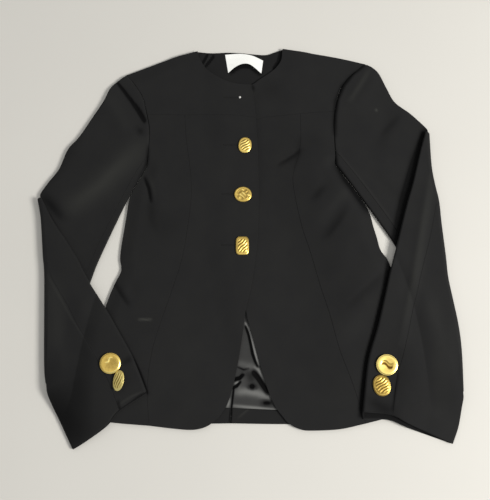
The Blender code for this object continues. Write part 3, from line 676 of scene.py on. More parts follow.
@dataclass(frozen=True)
class Satin:
    """Smooth satin: a lining, or a label, blackened by the painted shade that its mesh carries and paler on its painted
    highlights. The sizes of its features are in millimetres.
    """

    name: str
    colour: Colour
    roughness: float
    rib: float = 0.5
    shine: float = 0.5
    slub: float = 5.0
    soft: float = 14.0
    # The black of painted shade in the dents, and the paler colour of painted highlight.
    deep: Colour = (0.0008, 0.0008, 0.0009)
    highlight_and_lint: Colour = (0.17, 0.17, 0.163)

    def material(self) -> bpy.types.Material:
        """Builds the material."""
        shader = Shader(self.name)
        ribs = shader.waves("Y", self.rib) * 0.5 + 0.5
        slub = shader.noise(self.slub, 3.0, shader.stretched(0.15, 1.0))
        soft = shader.noise(self.soft, 2.0)
        cloth = shader.shade(times(self.colour, 0.86), times(self.colour, 1.1), (slub * 0.6 + soft * 0.4).held())
        shader.set(
            Base_Color=shader.toned(cloth, self.deep, self.highlight_and_lint),
            Roughness=(self.roughness - 0.05 + slub * 0.12).held(),
            Specular_IOR_Level=self.shine,
            Normal=shader.bump(ribs * 0.4 + slub * 0.6, 0.05, 0.35),
        )
        return shader.material


@dataclass(frozen=True)
class Gilt:
    """Polished gilt metal, darker in its grooves, paler on its crests as a painted highlight, and finely scratched."""

    name: str = "gilt_metal"
    colour: Colour = (0.88, 0.63, 0.165)
    groove: Colour = (0.12, 0.062, 0.01)
    # The crest colour is a painted highlight.
    crest: Colour = (1.0, 0.86, 0.33)
    roughness: float = 0.28
    tarnish: float = 2.6
    scratch: float = 0.5
    scratch_turn: float = 25.0

    def material(self) -> bpy.types.Material:
        """Builds the material. The mesh's relief attribute is 0 in a groove, 1 on the plate and 2 on a crest; above 1
        it blends in the crest colour as a painted highlight.
        """
        shader = Shader(self.name)
        relief = shader.painted("relief")
        tarnish = shader.noise(self.tarnish, 3.0)
        scratches = shader.noise(self.scratch, 3.0, shader.stretched(0.2, 1.6, self.scratch_turn))
        plate = shader.shade(self.groove, self.colour, (relief * 1.1 + tarnish * 0.5 - 0.3).held())
        shader.set(
            Base_Color=shader.shade(plate, self.crest, (relief - 1.0).held()),
            Metallic=1.0,
            Roughness=(scratches * 0.12 + self.roughness).held(),
            Normal=shader.bump(scratches * 0.3 + tarnish * 0.7, 0.04, 0.3),
        )
        return shader.material


@dataclass(frozen=True)
class Twist:
    """Sewing thread, with its twist."""

    name: str
    colour: Colour
    roughness: float = 0.6
    turn_every: float = 0.5
    slant: float = 45.0

    def material(self) -> bpy.types.Material:
        """Builds the material."""
        shader = Shader(self.name)
        turns = shader.waves("X", self.turn_every, shader.stretched(1.0, 1.0, self.slant)) * 0.5 + 0.5
        shader.set(
            Base_Color=shader.shade(times(self.colour, 0.7), self.colour, turns),
            Roughness=self.roughness,
            Normal=shader.bump(turns, 0.08, 0.6),
        )
        return shader.material


class Finish(enum.Enum):
    """The record's material slot for each finish."""

    CREPE = "black_crepe"
    LINING = "lining_satin"
    LABEL = "label_satin"
    GILT = "gilt_metal"
    THREAD = "thread"


FINISHES: dict[Finish, Any] = {
    Finish.CREPE: Crepe(),
    Finish.LINING: Satin("lining_satin", (0.038, 0.038, 0.0372), 0.45, 0.5, 0.05),
    Finish.LABEL: Satin("label_satin", (0.86, 0.865, 0.83), 0.42, 0.35),
    Finish.GILT: Gilt(),
    Finish.THREAD: Twist("thread", (0.62, 0.61, 0.58)),
}


class Workshop:
    """Makes and places the blazer's meshes, and keeps its materials."""

    # How far in from an edge the rows of its rounded rim lie, and how much of the half wall they keep.
    RIM = (0.07, 0.24, 0.6)
    RIM_LIFT = (0.0, 0.72)
    LEAST_ROWS = 3

    def __init__(self) -> None:
        """Makes each material once."""
        self.materials = {finish: made.material() for finish, made in FINISHES.items()}

    def spread(self, length: float, step: float) -> Array:
        """Shares from 0 to 1, about step apart, with closer ones where an edge is rounded.

        Args:
            length: the stretch's length in millimetres.
            step: the wanted distance between shares in millimetres.

        Returns:
            The shares.
        """
        near, next_one, rim = (value / length for value in self.RIM)
        count = max(self.LEAST_ROWS, round(length / step))
        flat = np.linspace(rim, 1 - rim, count)
        return np.concatenate([[0, near, next_one], flat, [1 - next_one, 1 - near, 1]])

    def place(self, made: bpy.types.Object, finish: Finish) -> bpy.types.Object:
        """Gives a piece its finish and sets it on the frame."""
        bpy.context.scene.collection.objects.link(made)
        made.data.materials.append(self.materials[finish])
        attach(made, BODY)
        log.info("%s: %d faces", made.name, len(made.data.polygons))
        return made

    def shell(
        self, name: str, outer: Array, inner: Array, finish: Finish, tone: Array, inside: float = 0.0
    ) -> bpy.types.Object:
        """A closed thin shell between two like grids of points, with rounded rims.

        Args:
            name: the piece's name.
            outer: points [row, column] of the face that shows, in millimetres.
            inner: the other face's points.
            finish: its finish.
            tone: the painted shade on the face that shows, at each point; below zero, painted highlight and lint.
            inside: the painted shade on the whole other face.

        Returns:
            The piece.
        """
        rows, columns = outer.shape[:2]
        lifts = []
        for count in (rows, columns):
            lift = np.ones(count)
            lift[[0, -1]], lift[[1, -2]] = self.RIM_LIFT
            lifts.append(lift)
        share = np.minimum(lifts[0][:, None], lifts[1][None, :])[..., None]
        middle, half = (outer + inner) / 2, (outer - inner) / 2
        front = np.arange(rows * columns).reshape(rows, columns)
        back = front.copy()
        back[1:-1, 1:-1] = rows * columns + np.arange((rows - 2) * (columns - 2)).reshape(rows - 2, columns - 2)
        points = np.vstack([
            (middle + share * half).reshape(-1, 3),
            (middle - share * half)[1:-1, 1:-1].reshape(-1, 3),
        ])
        faces = []
        for grid, turned in ((front, False), (back, True)):
            corners = np.stack([grid[:-1, :-1], grid[1:, :-1], grid[1:, 1:], grid[:-1, 1:]], -1).reshape(-1, 4)
            faces.append(corners[:, ::-1] if turned else corners)
        mesh = bpy.data.meshes.new(name)
        mesh.from_pydata((points * MM).tolist(), [], np.vstack(faces).tolist())
        mesh.shade_smooth()
        # Each point carries its painted shade, which the material reads.
        tones = np.append(tone.ravel(), np.full((rows - 2) * (columns - 2), inside)).astype(np.float32)
        mesh.attributes.new("tone", "FLOAT", "POINT").data.foreach_set("value", tones)
        return self.place(bpy.data.objects.new(name, mesh), finish)

    def solid(self, name: str, points: Array, faces: list, finish: Finish) -> bpy.types.Object:
        """A piece from its own points, in millimetres, and faces."""
        mesh = bpy.data.meshes.new(name)
        mesh.from_pydata((np.asarray(points) * MM).tolist(), [], faces)
        mesh.shade_smooth()
        return self.place(bpy.data.objects.new(name, mesh), finish)

    def strand(
        self, name: str, path: Array, radius: float, finish: Finish, closed: bool = False
    ) -> bpy.types.Object:
        """A thread along a path.

        Args:
            name: the piece's name.
            path: points in millimetres.
            radius: the thread's radius in millimetres.
            finish: its finish.
            closed: whether it runs back to its start.

        Returns:
            The piece.
        """
        curve = bpy.data.curves.new(name, "CURVE")
        curve.dimensions = "3D"
        curve.bevel_depth = radius * MM
        curve.bevel_resolution = 2
        curve.use_fill_caps = True
        spline = curve.splines.new("POLY")
        spline.points.add(len(path) - 1)
        spline.points.foreach_set("co", np.column_stack([path * MM, np.ones(len(path))]).ravel())
        spline.use_cyclic_u = closed
        holder = bpy.data.objects.new(name + "_path", curve)
        bpy.context.scene.collection.objects.link(holder)
        graph = bpy.context.evaluated_depsgraph_get()
        mesh = bpy.data.meshes.new_from_object(holder.evaluated_get(graph))
        bpy.data.objects.remove(holder)
        mesh.name = name
        mesh.materials.clear()
        mesh.shade_smooth()
        return self.place(bpy.data.objects.new(name, mesh), finish)


def patch(top: Any, bottom: Any, left: Any, right: Any, u: Array, v: Array) -> Array:
    """Plan points [row, column] that fill the space between four edges, as a Coons patch.

    Args:
        top: the edge of the first row, which has at().
        bottom: the edge of the last row.
        left: the edge of the first column.
        right: the edge of the last column.
        u: the columns' shares.
        v: the rows' shares.

    Returns:
        The grid of points.
    """
    a, b, c, d = top.at(u), bottom.at(u), left.at(v), right.at(v)
    across, down = u[None, :, None], v[:, None, None]
    ruled = (1 - across) * c[:, None] + across * d[:, None] + (1 - down) * a[None] + down * b[None]
    ends = (1 - down) * ((1 - across) * a[0] + across * a[-1]) + down * ((1 - across) * b[0] + across * b[-1])
    return ruled - ends


def drawn_in(grid: Array, sides: str) -> Array:
    """The grid with the named edges, of "top bottom left right", moved in by half a seam's gap."""
    moved = grid.copy()
    middle = grid.mean(axis=(0, 1))
    places = {"top": np.s_[0, :], "bottom": np.s_[-1, :], "left": np.s_[:, 0], "right": np.s_[:, -1]}
    for side in sides.split():
        run = grid[places[side]]
        along = np.gradient(run, axis=0)
        normal = np.stack([-along[:, 1], along[:, 0]], 1) / np.linalg.norm(along, axis=1)[:, None]
        inward = np.sign(((middle - run.mean(axis=0)) * normal.mean(axis=0)).sum())
        moved[places[side]] += inward * HALF_SEAM * normal
    return moved


def raised(grid: Array, height: Array | float) -> Array:
    """Plan points as points in space, at a height."""
    return np.concatenate([grid, np.broadcast_to(height, grid.shape[:2])[..., None]], axis=-1)


def area_of(grid: Array) -> float:
    """The area of a grid of points, in plan or in space, in square metres."""
    p, q = grid[1:, 1:] - grid[:-1, :-1], grid[:-1, 1:] - grid[1:, :-1]
    squares = (p**2).sum(-1) * (q**2).sum(-1) - (p * q).sum(-1) ** 2
    return float(np.sqrt(np.maximum(squares, 0)).sum() / 2 * MM * MM)


@dataclass(frozen=True)
class Panel:
    """A piece of cloth cut between four edges."""

    name: str
    top: Any
    bottom: Any
    left: Any
    right: Any
    seams: str
    wall: float
    finish: Finish = Finish.CREPE
    step: float = 2.2
    # Painted shade laid evenly over the whole panel.
    dim: float = 0.0

    LEAST_FILL = 0.3

    def grid(self, shop: Workshop) -> Array:
        """The panel's plan points."""
        u = shop.spread(max(self.top.length, self.bottom.length), self.step)
        v = shop.spread(max(self.left.length, self.right.length), self.step)
        return drawn_in(patch(self.top, self.bottom, self.left, self.right, u, v), self.seams)

    def build(
        self,
        shop: Workshop,
        height: Callable[[Array], Array],
        rests_on: Sequence[str],
        creases: Sequence[Crease] = (),
    ) -> bpy.types.Object:
        """Makes the panel.

        Args:
            shop: what makes its mesh.
            height: the height of its lower face at plan places.
            rests_on: the names of what it lies on, not used.
            creases: what lays painted shade, painted highlight and a few lint marks on it.

        Returns:
            The piece.
        """
        grid = self.grid(shop)
        low = height(grid)
        faces = raised(grid, low + self.wall), raised(grid, low)
        # The face that shows carries painted shade: the even dim plus that of the creases.
        made = shop.shell(self.name + "_cloth", *faces, self.finish, self.dim + shaded(grid, creases))
        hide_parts(self.name)
        size = np.ptp(grid.reshape(-1, 2), axis=0) * MM
        area = min(max(area_of(grid), self.LEAST_FILL * size[0] * size[1]), size[0] * size[1])
        return made


@dataclass(frozen=True)
class Cut:
    """The edges of a panel that the garment has on both sides, with {} for the side in each name.

    Each edge has its number of parts of the way. The top and the bottom run inwards from the outer side.
    """

    name: str
    top: Edges
    bottom: Edges
    outer: Edges
    inner: Edges
    seams: str
    wall: float = FRONT_WALL
    step: float = 2.2

    def panel(self, side: str) -> Panel:
        """The panel of one side, "right" or "left"."""
        across, sides = slice(None, None, 1 if side == "right" else -1), ("left", "right")
        top, bottom, outer, inner = (
            [(name.format(side), parts) for name, parts in edges]
            for edges in (self.top[across], self.bottom[across], self.outer, self.inner)
        )
        seams = self.seams.replace("outer", sides[across][0]).replace("inner", sides[across][1])
        left, right = (Run(*outer), Run(*inner))[across]
        return Panel(
            self.name.format(side), Run(*top), Run(*bottom), left, right, seams, self.wall, step=self.step
        )


BACK = Cut(
    "back_{}",
    top=(("shoulder_{}", 5), ("back_neck_{}", 3)),
    bottom=(("back_hem_{}", 1),),
    outer=(("arm_{}_yoke", 4), ("arm_{}_side", 4), ("side_{}", 15)),
    inner=(("centre_back", 1),),
    seams="outer inner",
    wall=BACK_WALL,
    step=4.0,
)
YOKE = Cut(
    "yoke_{}",
    top=(("shoulder_{}", 5), ("front_neck_{}", 6)),
    bottom=(("yoke_{}_side", 5), ("yoke_{}_centre", 6)),
    outer=(("arm_{}_yoke", 1),),
    inner=(("front_edge_yoke_{}", 1),),
    seams="bottom outer",
)
CENTRE_FRONT = Cut(
    "front_centre_{}",
    top=(("yoke_{}_centre", 1),),
    bottom=(("hem_{}_centre", 1),),
    outer=(("princess_{}", 1),),
    inner=(("front_edge_{}", 1),),
    seams="top outer",
)
SIDE_FRONT = Cut(
    "front_side_{}",
    top=(("yoke_{}_side", 1),),
    bottom=(("hem_{}_side", 1),),
    outer=(("arm_{}_side", 4), ("side_{}", 15)),
    inner=(("princess_{}", 1),),
    seams="top outer inner",
)


@dataclass
class Body:
    """The backs, the yokes and the fronts."""

    shop: Workshop
    drape: Drape
    outline_steps: int = 49

    def outline(self) -> Array:
        """The closed plan outline of the body, without the sleeves."""
        top = Run(("shoulder_right", 6), ("back_neck_right", 4), ("back_neck_left", 4), ("shoulder_left", 6))
        hem = Run(("back_hem_right", 6), ("back_hem_left", 6))
        right, left = (
            Run((f"arm_{side}_yoke", 4), (f"arm_{side}_side", 4), (f"side_{side}", 16)) for side in ("right", "left")
        )
        shares = np.linspace(0, 1, self.outline_steps)
        return np.vstack([
            top.at(shares), left.at(shares)[1:], hem.at(shares)[::-1][1:], right.at(shares)[::-1][1:-1],
        ])

    def backs(self) -> None:
        """The two halves of the back, flat on the surface."""
        for side in ("right", "left"):
            BACK.panel(side).build(self.shop, lambda grid: np.zeros(grid.shape[:2]), ["floor"])

    def yokes(self) -> None:
        """The two front yokes, the right one over the left one."""
        YOKE.panel("right").build(self.shop, self.drape.lapped, ["back_right_cloth", "yoke_left"], FRONT_CREASES)
        YOKE.panel("left").build(self.shop, self.drape.front, ["back_left_cloth"], FRONT_CREASES)

    def fronts(self) -> None:
        """The centre fronts and the side fronts."""
        for side, height in (("right", self.drape.lapped), ("left", self.drape.front)):
            for cut in (CENTRE_FRONT, SIDE_FRONT):
                cut.panel(side).build(self.shop, height, [f"back_{side}_cloth"], FRONT_CREASES)

    def build(self) -> None:
        """Makes every panel of the body."""
        self.backs()
        self.yokes()
        self.fronts()


LINING_FOLDS = (
    Crease(((2, -190), (-14, -221)), 1.6, 7.0),
    Crease(((2, -194), (30, -229)), 1.3, 7.0),
    Crease(((8, -140), (18, -190)), 0.9, 7.0),
)
LINING_CREASES = (
    # The dents, blackened with painted shade, and the painted highlights of the satin between them, from the top down.
    Crease(((-1, -132), (3.6, -144.5), (6.4, -157), (9, -172), (12.8, -183), (16.5, -190.5)), -0.4, 2.2, 2.8),
    Crease(((-1, -127), (3.6, -135), (7.4, -148), (11.2, -163), (15.8, -179.5), (18.4, -188)), 0.5, 2.4, -1.6),
    Crease(((-13, -186), (0, -190), (13, -192)), 0.5, 7.0, -0.3),
    Crease(((-15, -191), (-4, -195.5), (3, -194)), -0.2, 1.8, 1.0),
    Crease(((13, -192), (18, -196), (24, -207), (28.5, -218)), 0.7, 3.4, -0.8),
    Crease(((11, -199), (17.4, -207), (22, -214), (27, -222), (31, -229)), -0.6, 4.2, 2.8),
    Crease(((5, -220.5), (12, -220.5)), -0.5, 5.0, 1.7),
    Crease(((-1, -201), (6, -204), (8, -213)), 0.0, 9.0, 0.6),
    Crease(((-19, -210), (-9.4, -207.5), (-5, -203)), -0.4, 2.8, 3.4),
    Crease(((-20, -222), (-14, -219), (-8.5, -213)), -0.3, 2.1, 3.2),
    Crease(((-17, -216), (-11, -212.5)), 0.4, 1.8, -1.2),
    Crease(((-4, -199), (-8, -211), (-12, -222)), 0.5, 2.0, -0.3),
    Crease(((-14, -228), (0, -227), (16, -229.5), (26, -233), (38, -240)), 0.6, 7.0, -0.75),
    Crease(((24, -243.5), (38, -243)), -0.3, 5.6, 1.3),
    Crease(((-20, -247.5), (0, -249.5), (30, -252), (46, -254)), 0.4, 2.8, -0.8),
    Crease(((-18.5, -221), (-20, -235), (-22, -253)), -0.4, 1.3, 3.0),
    Crease(((-25, -238), (-28, -250)), 0.3, 3.0, -0.9),
)
# Painted shade in the vent's gap between the hem facings, and a pale thread line.
HEM_CREASES = (
    Crease(((-22, -251), (-24, -275)), 0.0, 1.7, 3.4),
    Crease(((-12, -265), (4, -252)), 0.0, 1.4, -0.7),
)
# Painted shade in two folds by the right neck point, with a painted highlight between them, painted shadow along the
# left neckline, a soft fold, and painted shadow under the label's arch.
FACING_CREASES = (
    Crease(((-62, 303), (-66, 295), (-71, 286)), -0.5, 1.5, 4.0),
    Crease(((-51.5, 301), (-58, 292), (-65, 283)), -0.5, 1.5, 4.0),
    Crease(((-57, 302), (-62, 293), (-69, 283)), 0.4, 2.4, -0.3),
    Crease(((57, 311), (55, 300), (52, 289), (45, 279)), -0.5, 3.0, 5.0),
    Crease(((44, 302), (38, 286), (28, 268)), 0.4, 6.0),
    Crease(((-24, 274), (-17, 281), (-5, 286), (7, 284.5), (21, 272)), 0.0, 4.6, 3.0),
)


@dataclass
class Inside:
    """What shows inside: the neck facing and its label, the lining and the turned-up hem."""

    shop: Workshop
    facing_rise: float = 0.5
    label_arch: float = 2.4
    label_fall: float = 0.8

    def panel(self, name: str, finish: Finish, step: float, dim: float = 0.0) -> Panel:
        """A thin panel between its top and its bottom edge, with straight ends."""
        top, bottom = EDGES[f"{name}_top"], EDGES[f"{name}_bottom"]
        left, right = Straight(top[0], bottom[0]), Straight(top[-1], bottom[-1])
        return Panel(name, Line(top), Line(bottom), left, right, "", THIN_WALL, finish, step, dim)

    def facing_height(self, grid: Array) -> Array:
        """The neck facing's lower face, wrinkled beside the neck."""
        return INSIDE_BASE + self.facing_rise + lifted(grid, FACING_CREASES)

    def label_height(self, grid: Array) -> Array:
        """The label's lower face: it stands off the facing in an arch."""
        down = np.linspace(0, 1, grid.shape[0])[:, None]
        across = np.linspace(-1, 1, grid.shape[1])[None, :]
        arch = self.label_arch * down * (1 - self.label_fall * across**2)
        return INSIDE_BASE + THIN_WALL + LAYER_GAP + arch

    def lining_height(self, grid: Array) -> Array:
        """The lining's lower face, folded but never below the back's upper face."""
        return INSIDE_BASE + np.maximum(lifted(grid, LINING_FOLDS) + lifted(grid, LINING_CREASES), 0)

    def build(self) -> None:
        """Makes the pieces."""
        # The neck facing is painted darker all over, as the shade that the fronts' neck edges cast on it; the hem
        # facings a little darker.
        self.panel("back_neck_facing", Finish.CREPE, 1.2, 0.24).build(
            self.shop, self.facing_height, ["back_left_cloth"], FACING_CREASES
        )
        self.panel("label", Finish.LABEL, 0.9).build(self.shop, self.label_height, ["back_neck_facing_cloth"])
        self.panel("back_lining", Finish.LINING, 1.0).build(
            self.shop, self.lining_height, ["back_left_cloth", "back_right_cloth"], LINING_CREASES
        )
        for side in ("right", "left"):
            self.panel(f"back_hem_facing_{side}", Finish.CREPE, 1.6, 0.1).build(
                self.shop, lambda grid: np.full(grid.shape[:2], INSIDE_BASE), [f"back_{side}_cloth"], HEM_CREASES
            )


@dataclass
class Sleeve:
    """One sleeve: a flat tube of two panels, folded over once at the elbow.

    The top panel goes round the elbow's edge and the under one round the wrist's. They meet at the hindarm seam, which
    lies on the lower face before the fold, and at the inseam, on the upper one.
    """

    shop: Workshop
    side: str
    body: Array
    outward: Point
    lines: dict[str, tuple[Point, ...]]
    cuff_step: float
    hindarm: Point
    seed: int
    arm_creases: tuple[Crease, ...]
    forearm_creases: tuple[Crease, ...]
    stations: tuple[int, int, int] = (112, 10, 160)
    step: float = 2.0
    fine: int = 64
    ripple: float = 0.22

    # The painted shade inside the tube, the stations over which creases fade in from the fold, and the lengths across
    # the sleeve and the parts round its edges by which its columns are spread.
    INSIDE_TONE = 0.8
    FOLD_FADE = 3
    WIDE, NARROW, INSEAM_STRIP = 120.0, 44.0, 14.0
    ARC_PARTS = 10

    def __post_init__(self) -> None:
        """Works out what the forearm lies on: the body and its own upper arm."""
        self.support = (self.body, self.upper_outline())

    def armhole(self) -> Line:
        """The body's armhole, moved out by the seam's gap."""
        yoke, side = (Line(EDGES[f"arm_{self.side}_{part}"]).at(COURSE) for part in ("yoke", "side"))
        body = np.vstack([yoke, side[1:]])
        along = np.gradient(body, axis=0)
        normal = np.stack([along[:, 1], -along[:, 0]], 1) / np.linalg.norm(along, axis=1)[:, None]
        away = 1 if self.side == "right" else -1
        return Line((body + away * ARMHOLE_GAP * normal)[::4])

    def line(self, name: str) -> Line:
        """A named line, the outer and inner ones from the ends of the armhole."""
        if name == "armhole":
            return self.armhole()
        points = self.lines[name]
        if name in ("outer", "inner"):
            points = (tuple(self.armhole().at(np.array([0.0 if name == "outer" else 1.0]))[0]), *points)
        return Line(points)

    def out(self) -> Array:
        """The plan direction, one long, in which the fold at the elbow bulges."""
        return np.array(self.outward) / np.linalg.norm(self.outward)

    def upper_outline(self) -> Array:
        """The closed plan outline of the upper arm, which the forearm lies on."""
        armhole, outer, fold, inner = (self.line(name).at(COURSE) for name in ("armhole", "outer", "fold", "inner"))
        return np.vstack([armhole[::-1], outer[1:], fold[1:], inner[::-1][1:-1]])

    def rest(self, places: Array) -> Array:
        """The height of the forearm's lower face, which sags to the surface past what is under it."""
        away = np.full(places.shape[:-1], np.inf)
        for outline in self.support:
            gap = distance_to(places, outline, np.roll(outline, -1, axis=0))
            away = np.minimum(away, np.where(within(places, outline), 0, gap))
        return REST_HEIGHT * (1 - smoothstep(away / SAG_REACH))

    def tube(self) -> tuple[Array, Array, Array, Array]:
        """The flat tube's middle.

        Returns:
            Plan points [station, place across], their heights, each station's turn about the fold, and how far
            the last stretch to the cuff has gone, 0 to 1.
        """
        upper_count, fold_count, fore_count = self.stations
        shares = np.linspace(0, 1, self.fine + 1)
        v = np.linspace(0, 1, upper_count)
        upper = patch(self.line("armhole"), self.line("fold"), self.line("outer"), self.line("inner"), shares, v)
        out = self.out()
        turns = math.pi * np.arange(1, fold_count) / fold_count
        bent = upper[-1][None] + FOLD_RADIUS * np.sin(turns)[:, None, None] * out
        v = np.linspace(0, 1, fore_count)
        fore = patch(self.line("fold"), self.line("cuff"), self.line("elbow"), self.line("wrist"), shares, v)
        settled = smoothstep(v / SETTLE_SHARE)[:, None]
        heights = [
            np.full(upper.shape[:2], TUBE_HALF),
            np.broadcast_to((TUBE_HALF + FOLD_RADIUS * (1 - np.cos(turns)))[:, None], bent.shape[:2]),
            TUBE_HALF + REST_HEIGHT * (1 - settled) + self.rest(fore) * settled,
        ]
        turn = np.concatenate([np.zeros(upper_count), turns, np.full(fore_count, math.pi)])
        step = np.concatenate([np.zeros(upper_count + fold_count - 1), np.clip((v - 1) / STEP_SHARE + 1, 0, 1)])
        return np.vstack([upper, bent, fore]), np.vstack(heights), turn, step

    def spots(self, panel: str, width: Array, hind: Array, depth: float) -> tuple[Array, Array]:
        """Where the points of one panel lie in each station.

        Args:
            panel: "top" or "under".
            width: each station's width.
            hind: the hindarm seam's share of it.
            depth: how far inside the cloth's outer face the points lie.

        Returns:
            The distance across from the elbow's edge, and the share of the half height, 1 on the face that is up
            before the fold and -1 on the other.
        """
        radius = TUBE_HALF - depth
        rim = len(self.shop.RIM)
        long, short, strip = (
            self.shop.spread(length, self.step) for length in (self.WIDE, self.NARROW, self.INSEAM_STRIP)
        )
        bends = np.linspace(0, math.pi, self.ARC_PARTS + 1)[1:-1]
        distances, faces = [], []
        for span, share in zip(width, hind):
            if panel == "top":
                first = (share * span - HALF_SEAM, TUBE_HALF, short[:-rim], -1.0)
                last = (TUBE_HALF, INSEAM * span - HALF_SEAM, long[rim:], 1.0)
                arc = TUBE_HALF - radius * np.sin(bends)
            else:
                first = (INSEAM * span + HALF_SEAM, span - TUBE_HALF, strip[:-rim], 1.0)
                last = (span - TUBE_HALF, share * span + HALF_SEAM, long[rim:], -1.0)
                arc = span - TUBE_HALF + radius * np.sin(bends)
            before, after = (start + (end - start) * shares for start, end, shares, _ in (first, last))
            distances.append(np.concatenate([before, arc, after]))
            flats = [np.full(len(shares), face) for _, _, shares, face in (first, last)]
            faces.append(np.concatenate([flats[0], first[3] * np.cos(bends), flats[1]]))
        return np.array(distances), np.array(faces)

    def surface(self, panel: str, depth: float) -> tuple[Array, Array]:
        """Points [station, column] of one panel, at a depth inside its outer face, and the painted shade they carry."""
        rows, middle, turn, step = self.tube()
        width = np.linalg.norm(rows[:, -1] - rows[:, 0], axis=1)
        hind = np.linspace(*self.hindarm, len(rows))
        distance, face = self.spots(panel, width, hind, depth)
        out = self.out()
        shares = np.linspace(0, 1, rows.shape[1])
        down = rows[-1].mean(axis=0) - rows[-2].mean(axis=0)
        down /= np.linalg.norm(down)
        upper_count, fold_count, _ = self.stations
        ripple = Ripple(self.seed)
        points, tone = np.empty((*distance.shape, 3)), np.zeros(distance.shape)
        for k, row in enumerate(rows):
            along = distance[k] / width[k]
            plan = np.stack([np.interp(along, shares, row[:, axis]) for axis in (0, 1)], -1)
            lift = face[k] * (TUBE_HALF - depth)
            points[k, :, :2] = plan - (lift * math.sin(turn[k]))[:, None] * out
            points[k, :, 2] = np.interp(along, shares, middle[k]) + lift * math.cos(turn[k])
            if face[k].max() > 0:
                lower = np.maximum(face[k], 0) * (1 - along) * step[k] * self.cuff_step
                points[k, :, :2] += lower[:, None] * down
            if turn[k] == 0.0:
                upward, creases, from_fold = 1, self.arm_creases, upper_count - 1 - k
            elif turn[k] == math.pi:
                upward, creases, from_fold = -1, self.forearm_creases, k - upper_count - fold_count + 1
            else:
                continue
            soft = lifted(plan, creases) + self.ripple * ripple.at(plan)
            shown = np.maximum(upward * face[k], 0)
            points[k, :, 2] += shown * smoothstep(from_fold / self.FOLD_FADE) * soft
            # Only the face that is up carries the creases' painted shade.
            tone[k] = shown * shaded(plan, creases)
        return points, tone

    def build(self) -> None:
        """Makes the top and the under sleeve."""
        for panel in ("top", "under"):
            (outer, tone), (inner, _) = self.surface(panel, 0.0), self.surface(panel, SLEEVE_WALL)
            if self.side == "left":
                outer, inner, tone = outer[:, ::-1], inner[:, ::-1], tone[:, ::-1]
            name = f"sleeve_{panel}_{self.side}"
            made = self.shop.shell(name + "_cloth", outer, inner, Finish.CREPE, tone, self.INSIDE_TONE)
            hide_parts(name)
            area = area_of(outer)


